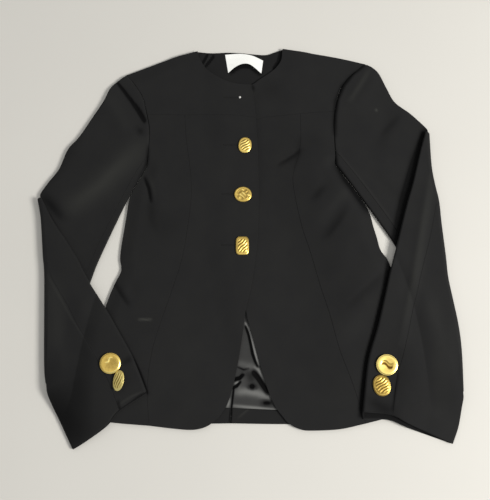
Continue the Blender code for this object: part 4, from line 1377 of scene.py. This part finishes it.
SLEEVES: dict[str, dict[str, Any]] = {
    "right": {
        "outward": (-1.0, -0.05),
        "cuff_step": 3.0,
        "hindarm": (0.38, 0.34),
        "seed": 11,
        "lines": {
            "outer": (
                (-207, 255), (-217, 244), (-226, 224), (-241, 199), (-262, 165), (-279, 144),
                (-291, 113), (-306, 92), (-316, 77), (-318.5, 70.5), (-315, 65),
            ),
            "inner": ((-182, 66), (-223, -28), (-237, -68), (-264, -145), (-288, -217)),
            "fold": ((-315, 65), (-308, 32), (-302, -25), (-298, -60), (-292, -184), (-288, -217)),
            "elbow": (
                (-315, 65), (-296, 30), (-275, 0), (-256, -29), (-234, -69), (-210, -105), (-193, -133),
                (-171, -170), (-159, -196), (-146, -227),
            ),
            "wrist": ((-288, -217), (-291.5, -225), (-288, -238), (-281, -254), (-272, -271), (-252, -310)),
            "cuff": ((-146, -227), (-186, -254), (-203, -275), (-232, -297), (-252, -310)),
        },
        # Painted shade in the sleeve-head crease, the elbow's trough, the armpit, along the armhole and the underarm,
        # the painted shadow of the forearm's elbow edge, and broad patches painted darker and paler.
        "arm_creases": (
            Crease(((-206, 252), (-164, 190)), -2.0, 9.0),
            Crease(((-222, 236), (-186, 176)), 1.2, 13.0, -0.15),
            Crease(((-164, 150), (-194, 118), (-222, 88), (-252, 64), (-274, 48)), 1.4, 22.0, -0.5),
            Crease(((-190, 128), (-228, 84), (-262, 58)), 0.0, 8.0, -0.12),
            Crease(((-205, 255), (-193, 240), (-182, 225), (-170, 208), (-160, 190)), -1.2, 2.6, 2.4, -0.3),
            Crease(((-177, 218), (-168, 205), (-159, 190)), -0.4, 3.4, 1.6),
            Crease(((-171, 177), (-163, 170)), -0.9, 6.0, 0.6),
            Crease(((-314, 68), (-300, 52), (-284, 34)), -0.8, 9.0, 0.8, 0.3),
            Crease(((-153, 150), (-154, 130), (-157, 114)), 0.0, 3.0, 1.0),
            Crease(((-157, 114), (-167, 92), (-181, 64)), 0.0, 3.6, 1.0),
            Crease(((-321, 66), (-290, 14), (-262, -30), (-250, -50)), 0.0, 3.6, 1.3),
            Crease(((-262, 165), (-291, 113), (-313, 76)), 0.0, 12.0, 0.25),
            Crease(((-196, 20), (-236, -60)), 0.0, 24.0, 0.1),
        ),
        # Broad patches painted darker and paler, the cuff painted darker all over, painted highlight lines, and painted
        # shade in the vent and along the cuff's edge.
        "forearm_creases": (
            Crease(((-290, -20), (-240, -120)), 0.9, 12.0),
            Crease(((-262, -190), (-232, -250)), -0.3, 16.0, 0.1),
            Crease(((-292, -60), (-282, -150), (-262, -220)), 0.5, 9.0),
            Crease(((-240, -110), (-246, -170), (-244, -220)), 0.0, 36.0, 0.2),
            Crease(((-288, -70), (-280, -130), (-272, -200)), 0.0, 22.0, -0.2),
            Crease(((-304, -47), (-280, -86), (-258, -123), (-221, -177)), 0.0, 2.2, -0.3),
            Crease(((-181, -187), (-169, -178)), 0.0, 6.0, 0.5),
            Crease(((-290, -222), (-272, -268), (-250, -304)), 0.0, 50.0, 0.9),
            Crease(((-187, -240), (-183, -255)), -0.3, 2.4, 0.9),
            Crease(((-170, -246), (-158, -237), (-149, -230.5)), -0.4, 3.4, 2.0),
            Crease(((-182, -252), (-172, -246)), 0.0, 2.4, 1.0),
            Crease(((-186, -247), (-176, -239), (-166, -233), (-155, -228.5), (-148, -227)), 0.3, 1.8, -0.45),
        ),
    },
    "left": {
        "outward": (1.0, -0.12),
        "cuff_step": 11.0,
        "hindarm": (0.28, 0.31),
        "seed": 17,
        "lines": {
            "outer": (
                (202, 280), (212, 269), (223, 245), (235, 222), (258, 203.5), (275, 187), (283, 178.5),
                (284.5, 174.5), (280, 171),
            ),
            "inner": ((163, 87), (194, 42), (228, -10), (262, -74), (289, -144), (312, -228)),
            "fold": (
                (280, 171), (281, 118), (285, 87), (290, 60), (292, 26), (296, -25), (298, -58), (304, -94),
                (310, -132), (312.5, -170), (312, -228),
            ),
            "elbow": (
                (280, 171), (271, 142), (258, 93), (246, 55), (234, 13), (226, -17), (218, -44), (207, -87),
                (195, -132), (180, -179), (172, -232), (169, -256),
            ),
            "wrist": ((312, -228), (316.5, -235), (314.5, -250), (310, -276), (300, -302)),
            "cuff": ((169, -256), (208, -260), (235, -273), (268, -288), (300, -302)),
        },
        # Painted shade in troughs, along the armhole and the sleeve's lower edge, the painted shadow of the forearm's
        # elbow edge, a painted highlight line and one small pale spot.
        "arm_creases": (
            Crease(((206, 262), (176, 222)), 1.2, 12.0),
            Crease(((232, 206), (206, 148)), -1.0, 13.0, 0.2),
            Crease(((196, 108), (240, 60)), -1.0, 11.0, 0.12),
            Crease(((195, 274), (180, 249), (164, 224)), 0.5, 5.0, -0.4),
            Crease(((240, 198), (214, 170)), -0.6, 6.0, 0.25),
            Crease(((160, 150), (196, 98), (232, 40)), 0.5, 16.0),
            Crease(((189, 283), (170, 269), (155, 250), (144, 226), (140, 200), (139, 166)), 0.0, 4.0, 1.3),
            Crease(((139, 140), (141, 118), (165, 81), (194, 39), (228, -12)), 0.0, 3.6, 1.2),
            Crease(((143, 140), (190, 78), (231, 18)), 0.0, 2.2, -0.2),
            Crease(((281, 172), (271, 144), (262, 120), (248, 76), (237, 38), (229, 6), (225, -14)), 0.0, 8.5, 2.6),
            Crease(((204, 208.5), (206, 207)), 0.0, 2.0, -2.0),
        ),
        # A painted highlight band, broad patches painted darker and paler, painted shade in the vent and the cuff, and
        # a painted highlight line along the cuff's edge.
        "forearm_creases": (
            Crease(((281, 90), (265, 12)), 1.0, 9.0),
            Crease(((265, 12), (236, -150)), 1.3, 9.0),
            Crease(((290, -60), (276, -210)), -0.4, 18.0, 0.05),
            Crease(((284, 98), (264, 3), (251, -63), (227, -157)), 0.6, 8.0, -0.36, 0.3),
            Crease(((303, -100), (300, -190)), 0.5, 8.0),
            Crease(((223, -200), (217, -226), (212, -253)), -0.3, 2.4, 0.7),
            Crease(((181, -239), (196, -250), (212, -256)), 0.0, 12.0, 0.6),
            Crease(((205, -262), (235, -275), (255, -284)), 0.0, 3.0, -0.7),
            Crease(((226, -150), (236, -220), (240, -280)), 0.0, 40.0, 0.34),
            Crease(((276, -90), (286, -160), (284, -250)), 0.0, 20.0, -0.24),
            Crease(((248, -70), (262, -150)), 0.0, 20.0, 0.12),
        ),
    },
}


class Relief(enum.Enum):
    """The worked face of a button."""

    WAVE = "wave"
    HAMMERED = "hammered"
    DISHED = "dished"
    SCOOPED = "scooped"


def bell(away: Array) -> Array:
    """A bell curve: 1 at 0, and soon 0 on both sides."""
    return np.exp(-(away**2))


@dataclass
class Button:
    """One gilt button: a rounded plate with a worked face.

    Shares tell how far out a point lies on the plate, 1 at its edge. Lengths are in millimetres.
    """

    shop: Workshop
    name: str
    relief: Relief
    centre: Point
    half: Point
    power: float = 2.0
    turn: float = 0.0
    tip: float = 0.0
    # Scales the face's relief values: above 1 it strengthens the painted highlight, below 1 it darkens the face.
    polish: float = 1.0
    rise: float = 0.9
    ridges_every: float = 3.9
    ridge: float = 0.5
    edge: float = 2.2
    dome: float = 0.8
    bevel: float = 0.4
    sides: int = 96
    rings: int = 44

    # The depth and the length of the bend in the ridges.
    BEND, BEND_EVERY = 0.5, 22.0
    # Places and widths, in shares, of the field's end, the rim and the bevelled or rounded edge.
    FIELD = (0.66, 0.16)
    RIM = (0.9, 0.07)
    BEVEL = (0.87, 0.13)
    BOWL_EDGE = (0.84, 0.16)
    # How far in and how high each ring of the plate's side lies, in shares of its edge.
    SIDE = ((1.0, 0.75), (0.985, 0.35), (0.95, 0.08), (0.9, 0.0))
    SIDE_TONE = 0.6
    UNDER_TONE = 0.5

    def domed(self, share: Array) -> Array:
        """The height of a domed plate with a bevelled edge."""
        start, width = self.BEVEL
        return self.dome * (1 - share**2) - self.bevel * smoothstep((share - start) / width)

    def bowl(self, share: Array) -> tuple[Array, Array]:
        """The height of a hollow plate, and how near each point is to its high rim, 0 to 1."""
        start, width = self.BOWL_EDGE
        near = smoothstep(share / 0.8) ** 2
        return 0.6 + 0.8 * near - 0.9 * smoothstep((share - start) / width), near

    def waves(self, x: Array, y: Array, share: Array, inner: Array, rim: Array) -> tuple[Array, Array]:
        """Slanting rounded ridges, bent like waves, within a plain border, with painted highlight on the ridges and on
        the rim's side towards the key light.
        """
        bend = self.BEND * np.sin(math.tau * (x + y) / self.BEND_EVERY)
        across = (y - self.rise * x) / math.hypot(1, self.rise) + bend
        crest = np.abs(np.sin(math.pi * across / self.ridges_every)) ** 3
        # Painted highlight on the rim's side towards the key light.
        plain = 0.9 + 0.7 * rim * smoothstep((x - y) / 20 + 0.3)
        height = self.domed(share) + self.ridge * crest * inner + 0.2 * rim
        return height, plain * (1 - inner) + (0.2 + 1.8 * crest) * inner

    def hammered(self, x: Array, y: Array, share: Array, inner: Array, rim: Array) -> tuple[Array, Array]:
        """Uneven hammer marks within a raised rim, with specks of painted highlight and a painted highlight on the rim.
        """
        pits = np.sin(0.52 * x + 1.3 * np.sin(0.42 * y + 0.7)) * np.sin(0.61 * y + 1.2 * np.sin(0.48 * x + 0.3))
        specks = smoothstep((pits - 0.35) / 0.4) * inner
        height = self.domed(share) + 0.5 * pits * inner + 0.4 * rim
        return height, 0.7 + 0.3 * pits * inner + 0.9 * specks + 0.5 * rim

    def dished(self, x: Array, y: Array, share: Array, _: Array, rim: Array) -> tuple[Array, Array]:
        """A hollow plate with one raised curl, with painted highlight on the curl and on the rim's side towards the key
        light.
        """
        height, near_rim = self.bowl(share)
        along, across = 0.7 * (x + 2.5) + 0.7 * (y - 4.5), 0.7 * (y - 4.5) - 0.7 * (x + 2.5)
        curl = bell((across - 0.9 * np.sin(0.6 * along)) / 1.4) * smoothstep((7.5 - np.abs(along)) / 3)
        # Painted highlight on the rim's side towards the key light.
        brighter = smoothstep((x - y) / 24 + 0.4)
        return height + 0.5 * curl, 0.6 + 0.25 * near_rim + 1.6 * curl + 1.6 * rim * brighter

    def scooped(self, x: Array, y: Array, share: Array, _: Array, rim: Array) -> tuple[Array, Array]:
        """A hollow plate with one long scoop, fluted lengthwise, with painted highlight over the plate and the rim,
        darker in the scoop.
        """
        along, across = 0.97 * x - 0.24 * y, 0.97 * y + 0.24 * x
        wave = (across - 0.6 + 2.0 * np.sin(0.36 * along)) / (3.2 + 0.1 * along)
        scoop = smoothstep((1.5 - np.abs(wave)) / 0.8) * smoothstep((9.5 - np.abs(along)) / 2)
        return self.bowl(share)[0] - 0.5 * scoop, 1.3 + 0.4 * rim - (1.05 - 0.4 * np.sin(3.2 * wave)) * scoop

    def worked(self, x: Array, y: Array, share: Array) -> tuple[Array, Array]:
        """The height of the face over the plate's edge, and its relief: 0 in a groove, 1 plain, 2 on a crest; above 1
        is painted highlight.
        """
        inner = 1 - smoothstep((share - self.FIELD[0]) / self.FIELD[1])
        rim = bell((share - self.RIM[0]) / self.RIM[1])
        faces = {
            Relief.WAVE: self.waves,
            Relief.HAMMERED: self.hammered,
            Relief.DISHED: self.dished,
            Relief.SCOOPED: self.scooped,
        }
        return faces[self.relief](x, y, share, inner, rim)

    def turned(self) -> Array:
        """The matrix that tips the button about its long axis and then turns it about the vertical."""
        tip, turn = math.radians(self.tip), math.radians(self.turn)
        tipped = np.array([[math.cos(tip), 0, math.sin(tip)], [0, 1, 0], [-math.sin(tip), 0, math.cos(tip)]])
        return np.array([[math.cos(turn), -math.sin(turn), 0], [math.sin(turn), math.cos(turn), 0], [0, 0, 1]]) @ tipped

    def build(self, height: float) -> bpy.types.Object:
        """Makes the button.

        Args:
            height: the height of the cloth under it, in millimetres.

        Returns:
            The piece.
        """
        shares = np.sin(np.linspace(0, math.pi / 2, self.rings + 1))[1:]
        angles = math.tau * np.arange(self.sides) / self.sides
        cos, sin = np.cos(angles), np.sin(angles)
        reach = (np.abs(cos) ** self.power + np.abs(sin) ** self.power) ** (-1 / self.power)
        x = shares[:, None] * reach * self.half[0] * cos
        y = shares[:, None] * reach * self.half[1] * sin
        rise, crest = self.worked(x, y, np.broadcast_to(shares[:, None], x.shape))
        rows = [np.stack([x, y, self.edge + rise], -1)]
        for inset, high in self.SIDE:
            rows.append(np.stack([x[-1:] * inset, y[-1:] * inset, np.full((1, self.sides), self.edge * high)], -1))
        grid = np.vstack(rows)
        # Relief values, scaled per button; above 1 they are painted highlight.
        crest = self.polish * np.vstack([crest, np.full((len(self.SIDE), self.sides), self.SIDE_TONE)])
        ring = np.arange(len(grid) * self.sides).reshape(len(grid), self.sides)
        after = np.roll(ring, -1, axis=1)
        faces = np.stack([ring[:-1], ring[1:], after[1:], after[:-1]], -1).reshape(-1, 4).tolist()
        top = len(grid) * self.sides
        bottom = top + 1
        faces += [(top, a, b) for a, b in zip(ring[0].tolist(), after[0].tolist())]
        faces += [(bottom, b, a) for a, b in zip(ring[-1].tolist(), after[-1].tolist())]
        points = np.vstack([grid.reshape(-1, 3), [[0, 0, self.edge + rise[0].mean()], [0, 0, 0]]])
        lift = height + LAYER_GAP + self.half[0] * abs(math.sin(math.radians(self.tip)))
        points = points @ self.turned().T + np.array([*self.centre, lift])
        made = self.shop.solid(self.name + "_metal", points, faces, Finish.GILT)
        values = np.append(crest.ravel(), [crest[0].mean(), self.UNDER_TONE]).astype(np.float32)
        made.data.attributes.new("relief", "FLOAT", "POINT").data.foreach_set("value", values)
        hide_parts(self.name)
        return made


@dataclass
class Fastenings:
    """The buttons, their buttonholes, and the thread of the button that is gone."""

    shop: Workshop
    drape: Drape
    sleeves: dict[str, Sleeve]
    hole_length: float = 22.0
    hole_half: float = 0.7
    hole_thread: float = 0.4
    hole_lift: float = 0.1
    knot_place: Point = (-10.0, 228.0)
    knot_radii: tuple[float, float] = (1.6, 0.2)
    knot_rise: float = 0.6
    knot_thread: float = 0.36
    knot_turns: int = 4
    knot_points: int = 60
    front: tuple[tuple[Any, ...], ...] = (
        ("front_button_upper", Relief.WAVE, (-2, 149), (10.0, 12.4), 2.2, -8, 0, 0.88, 0.9),
        ("front_button_middle", Relief.HAMMERED, (-5, 70), (13.2, 11.9), 2.0, 0, 0, 0.78),
        ("front_button_lower", Relief.WAVE, (-6.0, -10.2), (9.8, 14.0), 4.2, 0, 0, 0.66, 1.1),
    )
    cuff: tuple[tuple[Any, ...], ...] = (
        ("cuff_button_round_right", Relief.DISHED, (-199.3, -186.4), (15.4, 15.1), 2.0, 0, 0, 0.82),
        ("cuff_button_oval_right", Relief.WAVE, (-185.1, -211.2), (9.9, 14.8), 2.2, -8, -30, 1.7, 3.4),
        ("cuff_button_round_left", Relief.SCOOPED, (206, -188.5), (15.6, 15.2), 2.0, 0, 0, 0.95),
        ("cuff_button_oval_left", Relief.WAVE, (197.4, -218.2), (12.5, 15.2), 2.2, 8, 0, 0.4, 0.5),
    )
    holes: tuple[tuple[str, Point], ...] = (
        ("top", (-13, 228)), ("upper", (-13, 150)), ("middle", (-15, 71)), ("lower", (-15, -9)),
    )

    def cloth_top(self, x: float, y: float) -> float:
        """The height of the right front's upper face at a plan place."""
        return float(self.drape.lapped(np.array([[x, y]], float))[0]) + FRONT_WALL

    def build(self) -> None:
        """Makes them all."""
        for details in self.front:
            button = Button(self.shop, *details)
            button.build(self.cloth_top(*button.centre))
        for details in self.cuff:
            button = Button(self.shop, *details)
            sleeve = self.sleeves[button.name.rsplit("_", 1)[1]]
            place = np.array([button.centre], float)
            soft = max(0.0, float(lifted(place, sleeve.forearm_creases)[0]))
            button.build(2 * TUBE_HALF + float(sleeve.rest(place)[0]) + soft)
        for name, (x, y) in self.holes:
            self.buttonhole(f"buttonhole_{name}", x, y)
        self.loose_thread()

    def buttonhole(self, name: str, x: float, y: float) -> None:
        """A buttonhole's ring of thread, from its outer end at x towards -X."""
        turn = np.linspace(0, math.tau, 48, endpoint=False)
        half = self.hole_length / 2 - self.hole_half
        path = np.stack([
            x - self.hole_length / 2 + half * np.clip(np.cos(turn) * 1.6, -1, 1) + self.hole_half * np.cos(turn),
            y + self.hole_half * np.clip(np.sin(turn) * 3, -1, 1),
        ], -1)
        heights = self.drape.lapped(path) + FRONT_WALL + self.hole_lift
        points = np.column_stack([path, heights])
        self.shop.strand(name, points, self.hole_thread, Finish.CREPE, closed=True)

    def loose_thread(self) -> None:
        """The knot of thread where the topmost button is gone."""
        x, y = self.knot_place
        turn = np.linspace(0, self.knot_turns * math.tau, self.knot_points)
        radius = np.linspace(*self.knot_radii, self.knot_points)
        lift = self.cloth_top(x, y) + 2 * LAYER_GAP + np.linspace(0, self.knot_rise, self.knot_points)
        path = np.stack([x + radius * np.cos(turn), y + radius * np.sin(turn), lift], -1)
        made = self.shop.strand("top_button_knot", path, self.knot_thread, Finish.THREAD)
        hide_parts("top_button_thread")


@dataclass
class Studio:
    """The floor, the lights and the camera."""

    target: tuple[float, float, float] = (-0.002, -0.015, 0.0)
    distance: float = 1.0625
    elevation: float = 80.0
    lens: float = 50.0
    sensor: float = 36.0
    floor_size: float = 6.0
    floor_drop: float = 0.0004
    floor_colour: Colour = (0.60, 0.585, 0.545)
    sky: Colour = (0.98, 0.99, 1.0)
    sky_strength: float = 0.42
    lamp_colour: Colour = (1.0, 0.985, 0.955)

    def floor(self) -> None:
        """A plain pale floor."""
        half = self.floor_size / 2
        mesh = bpy.data.meshes.new("floor")
        corners = [(-half, -half), (half, -half), (half, half), (-half, half)]
        mesh.from_pydata([(x, y, -self.floor_drop) for x, y in corners], [], [(0, 1, 2, 3)])
        made = bpy.data.objects.new("floor", mesh)
        bpy.context.scene.collection.objects.link(made)
        shader = Shader("floor")
        mottle = shader.noise(220.0, 2.0)
        shader.set(
            Base_Color=shader.shade(times(self.floor_colour, 0.97), times(self.floor_colour, 1.02), mottle),
            Roughness=0.9,
            Specular_IOR_Level=0.1,
        )
        mesh.materials.append(shader.material)

    def light(self, name: str, place: tuple[float, float, float], size: float, power: float) -> None:
        """An area light that faces the middle of the floor.

        Args:
            name: its name.
            place: where it hangs, in metres.
            size: its side in metres.
            power: its power in watts.
        """
        data = bpy.data.lights.new(name, "AREA")
        data.size = size
        data.energy = power
        data.color = self.lamp_colour
        made = bpy.data.objects.new(name, data)
        made.location = place
        made.rotation_euler = (-Vector(place)).to_track_quat("-Z", "Y").to_euler()
        bpy.context.scene.collection.objects.link(made)

    def camera(self) -> None:
        """The camera, looking down at the photograph's angle."""
        tilt = math.radians(self.elevation)
        back = Vector((0, -math.cos(tilt), math.sin(tilt)))
        data = bpy.data.cameras.new("camera")
        data.lens = self.lens
        data.sensor_width = self.sensor
        made = bpy.data.objects.new("camera", data)
        made.location = Vector(self.target) + self.distance * back
        made.rotation_euler = (-back).to_track_quat("-Z", "Y").to_euler()
        bpy.context.scene.collection.objects.link(made)
        bpy.context.scene.camera = made

    def build(self) -> None:
        """Sets the stage."""
        self.camera()
        self.floor()
        world = bpy.data.worlds.new("studio")
        world.use_nodes = True
        sky = world.node_tree.nodes["Background"].inputs
        sky["Color"].default_value = (*self.sky, 1.0)
        sky["Strength"].default_value = self.sky_strength
        bpy.context.scene.world = world
        bpy.context.scene.view_settings.view_transform = "Standard"
        self.light("key", (1.9, -0.6, 1.8), 0.8, 75.0)
        self.light("fill", (-0.2, 0.5, 2.3), 2.7, 12.0)


def corners(box: tuple[Vector, Vector]) -> list[list[float]]:
    """A box's two corners as plain lists."""
    return [list(corner) for corner in box]


def main() -> None:
    """Builds the blazer round its frame."""
    logging.basicConfig(level=logging.INFO, format="%(name)s: %(message)s")
    for made in list(bpy.data.objects):
        bpy.data.objects.remove(made, do_unlink=True)
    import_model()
    Studio().build()
    shop = Workshop()
    drape = Drape()
    body = Body(shop, drape)
    body.build()
    Inside(shop).build()
    sleeves = {side: Sleeve(shop, side, body.outline(), **facts) for side, facts in SLEEVES.items()}
    for sleeve in sleeves.values():
        sleeve.build()
    Fastenings(shop, drape, sleeves).build()


if __name__ == "__main__":
    main()
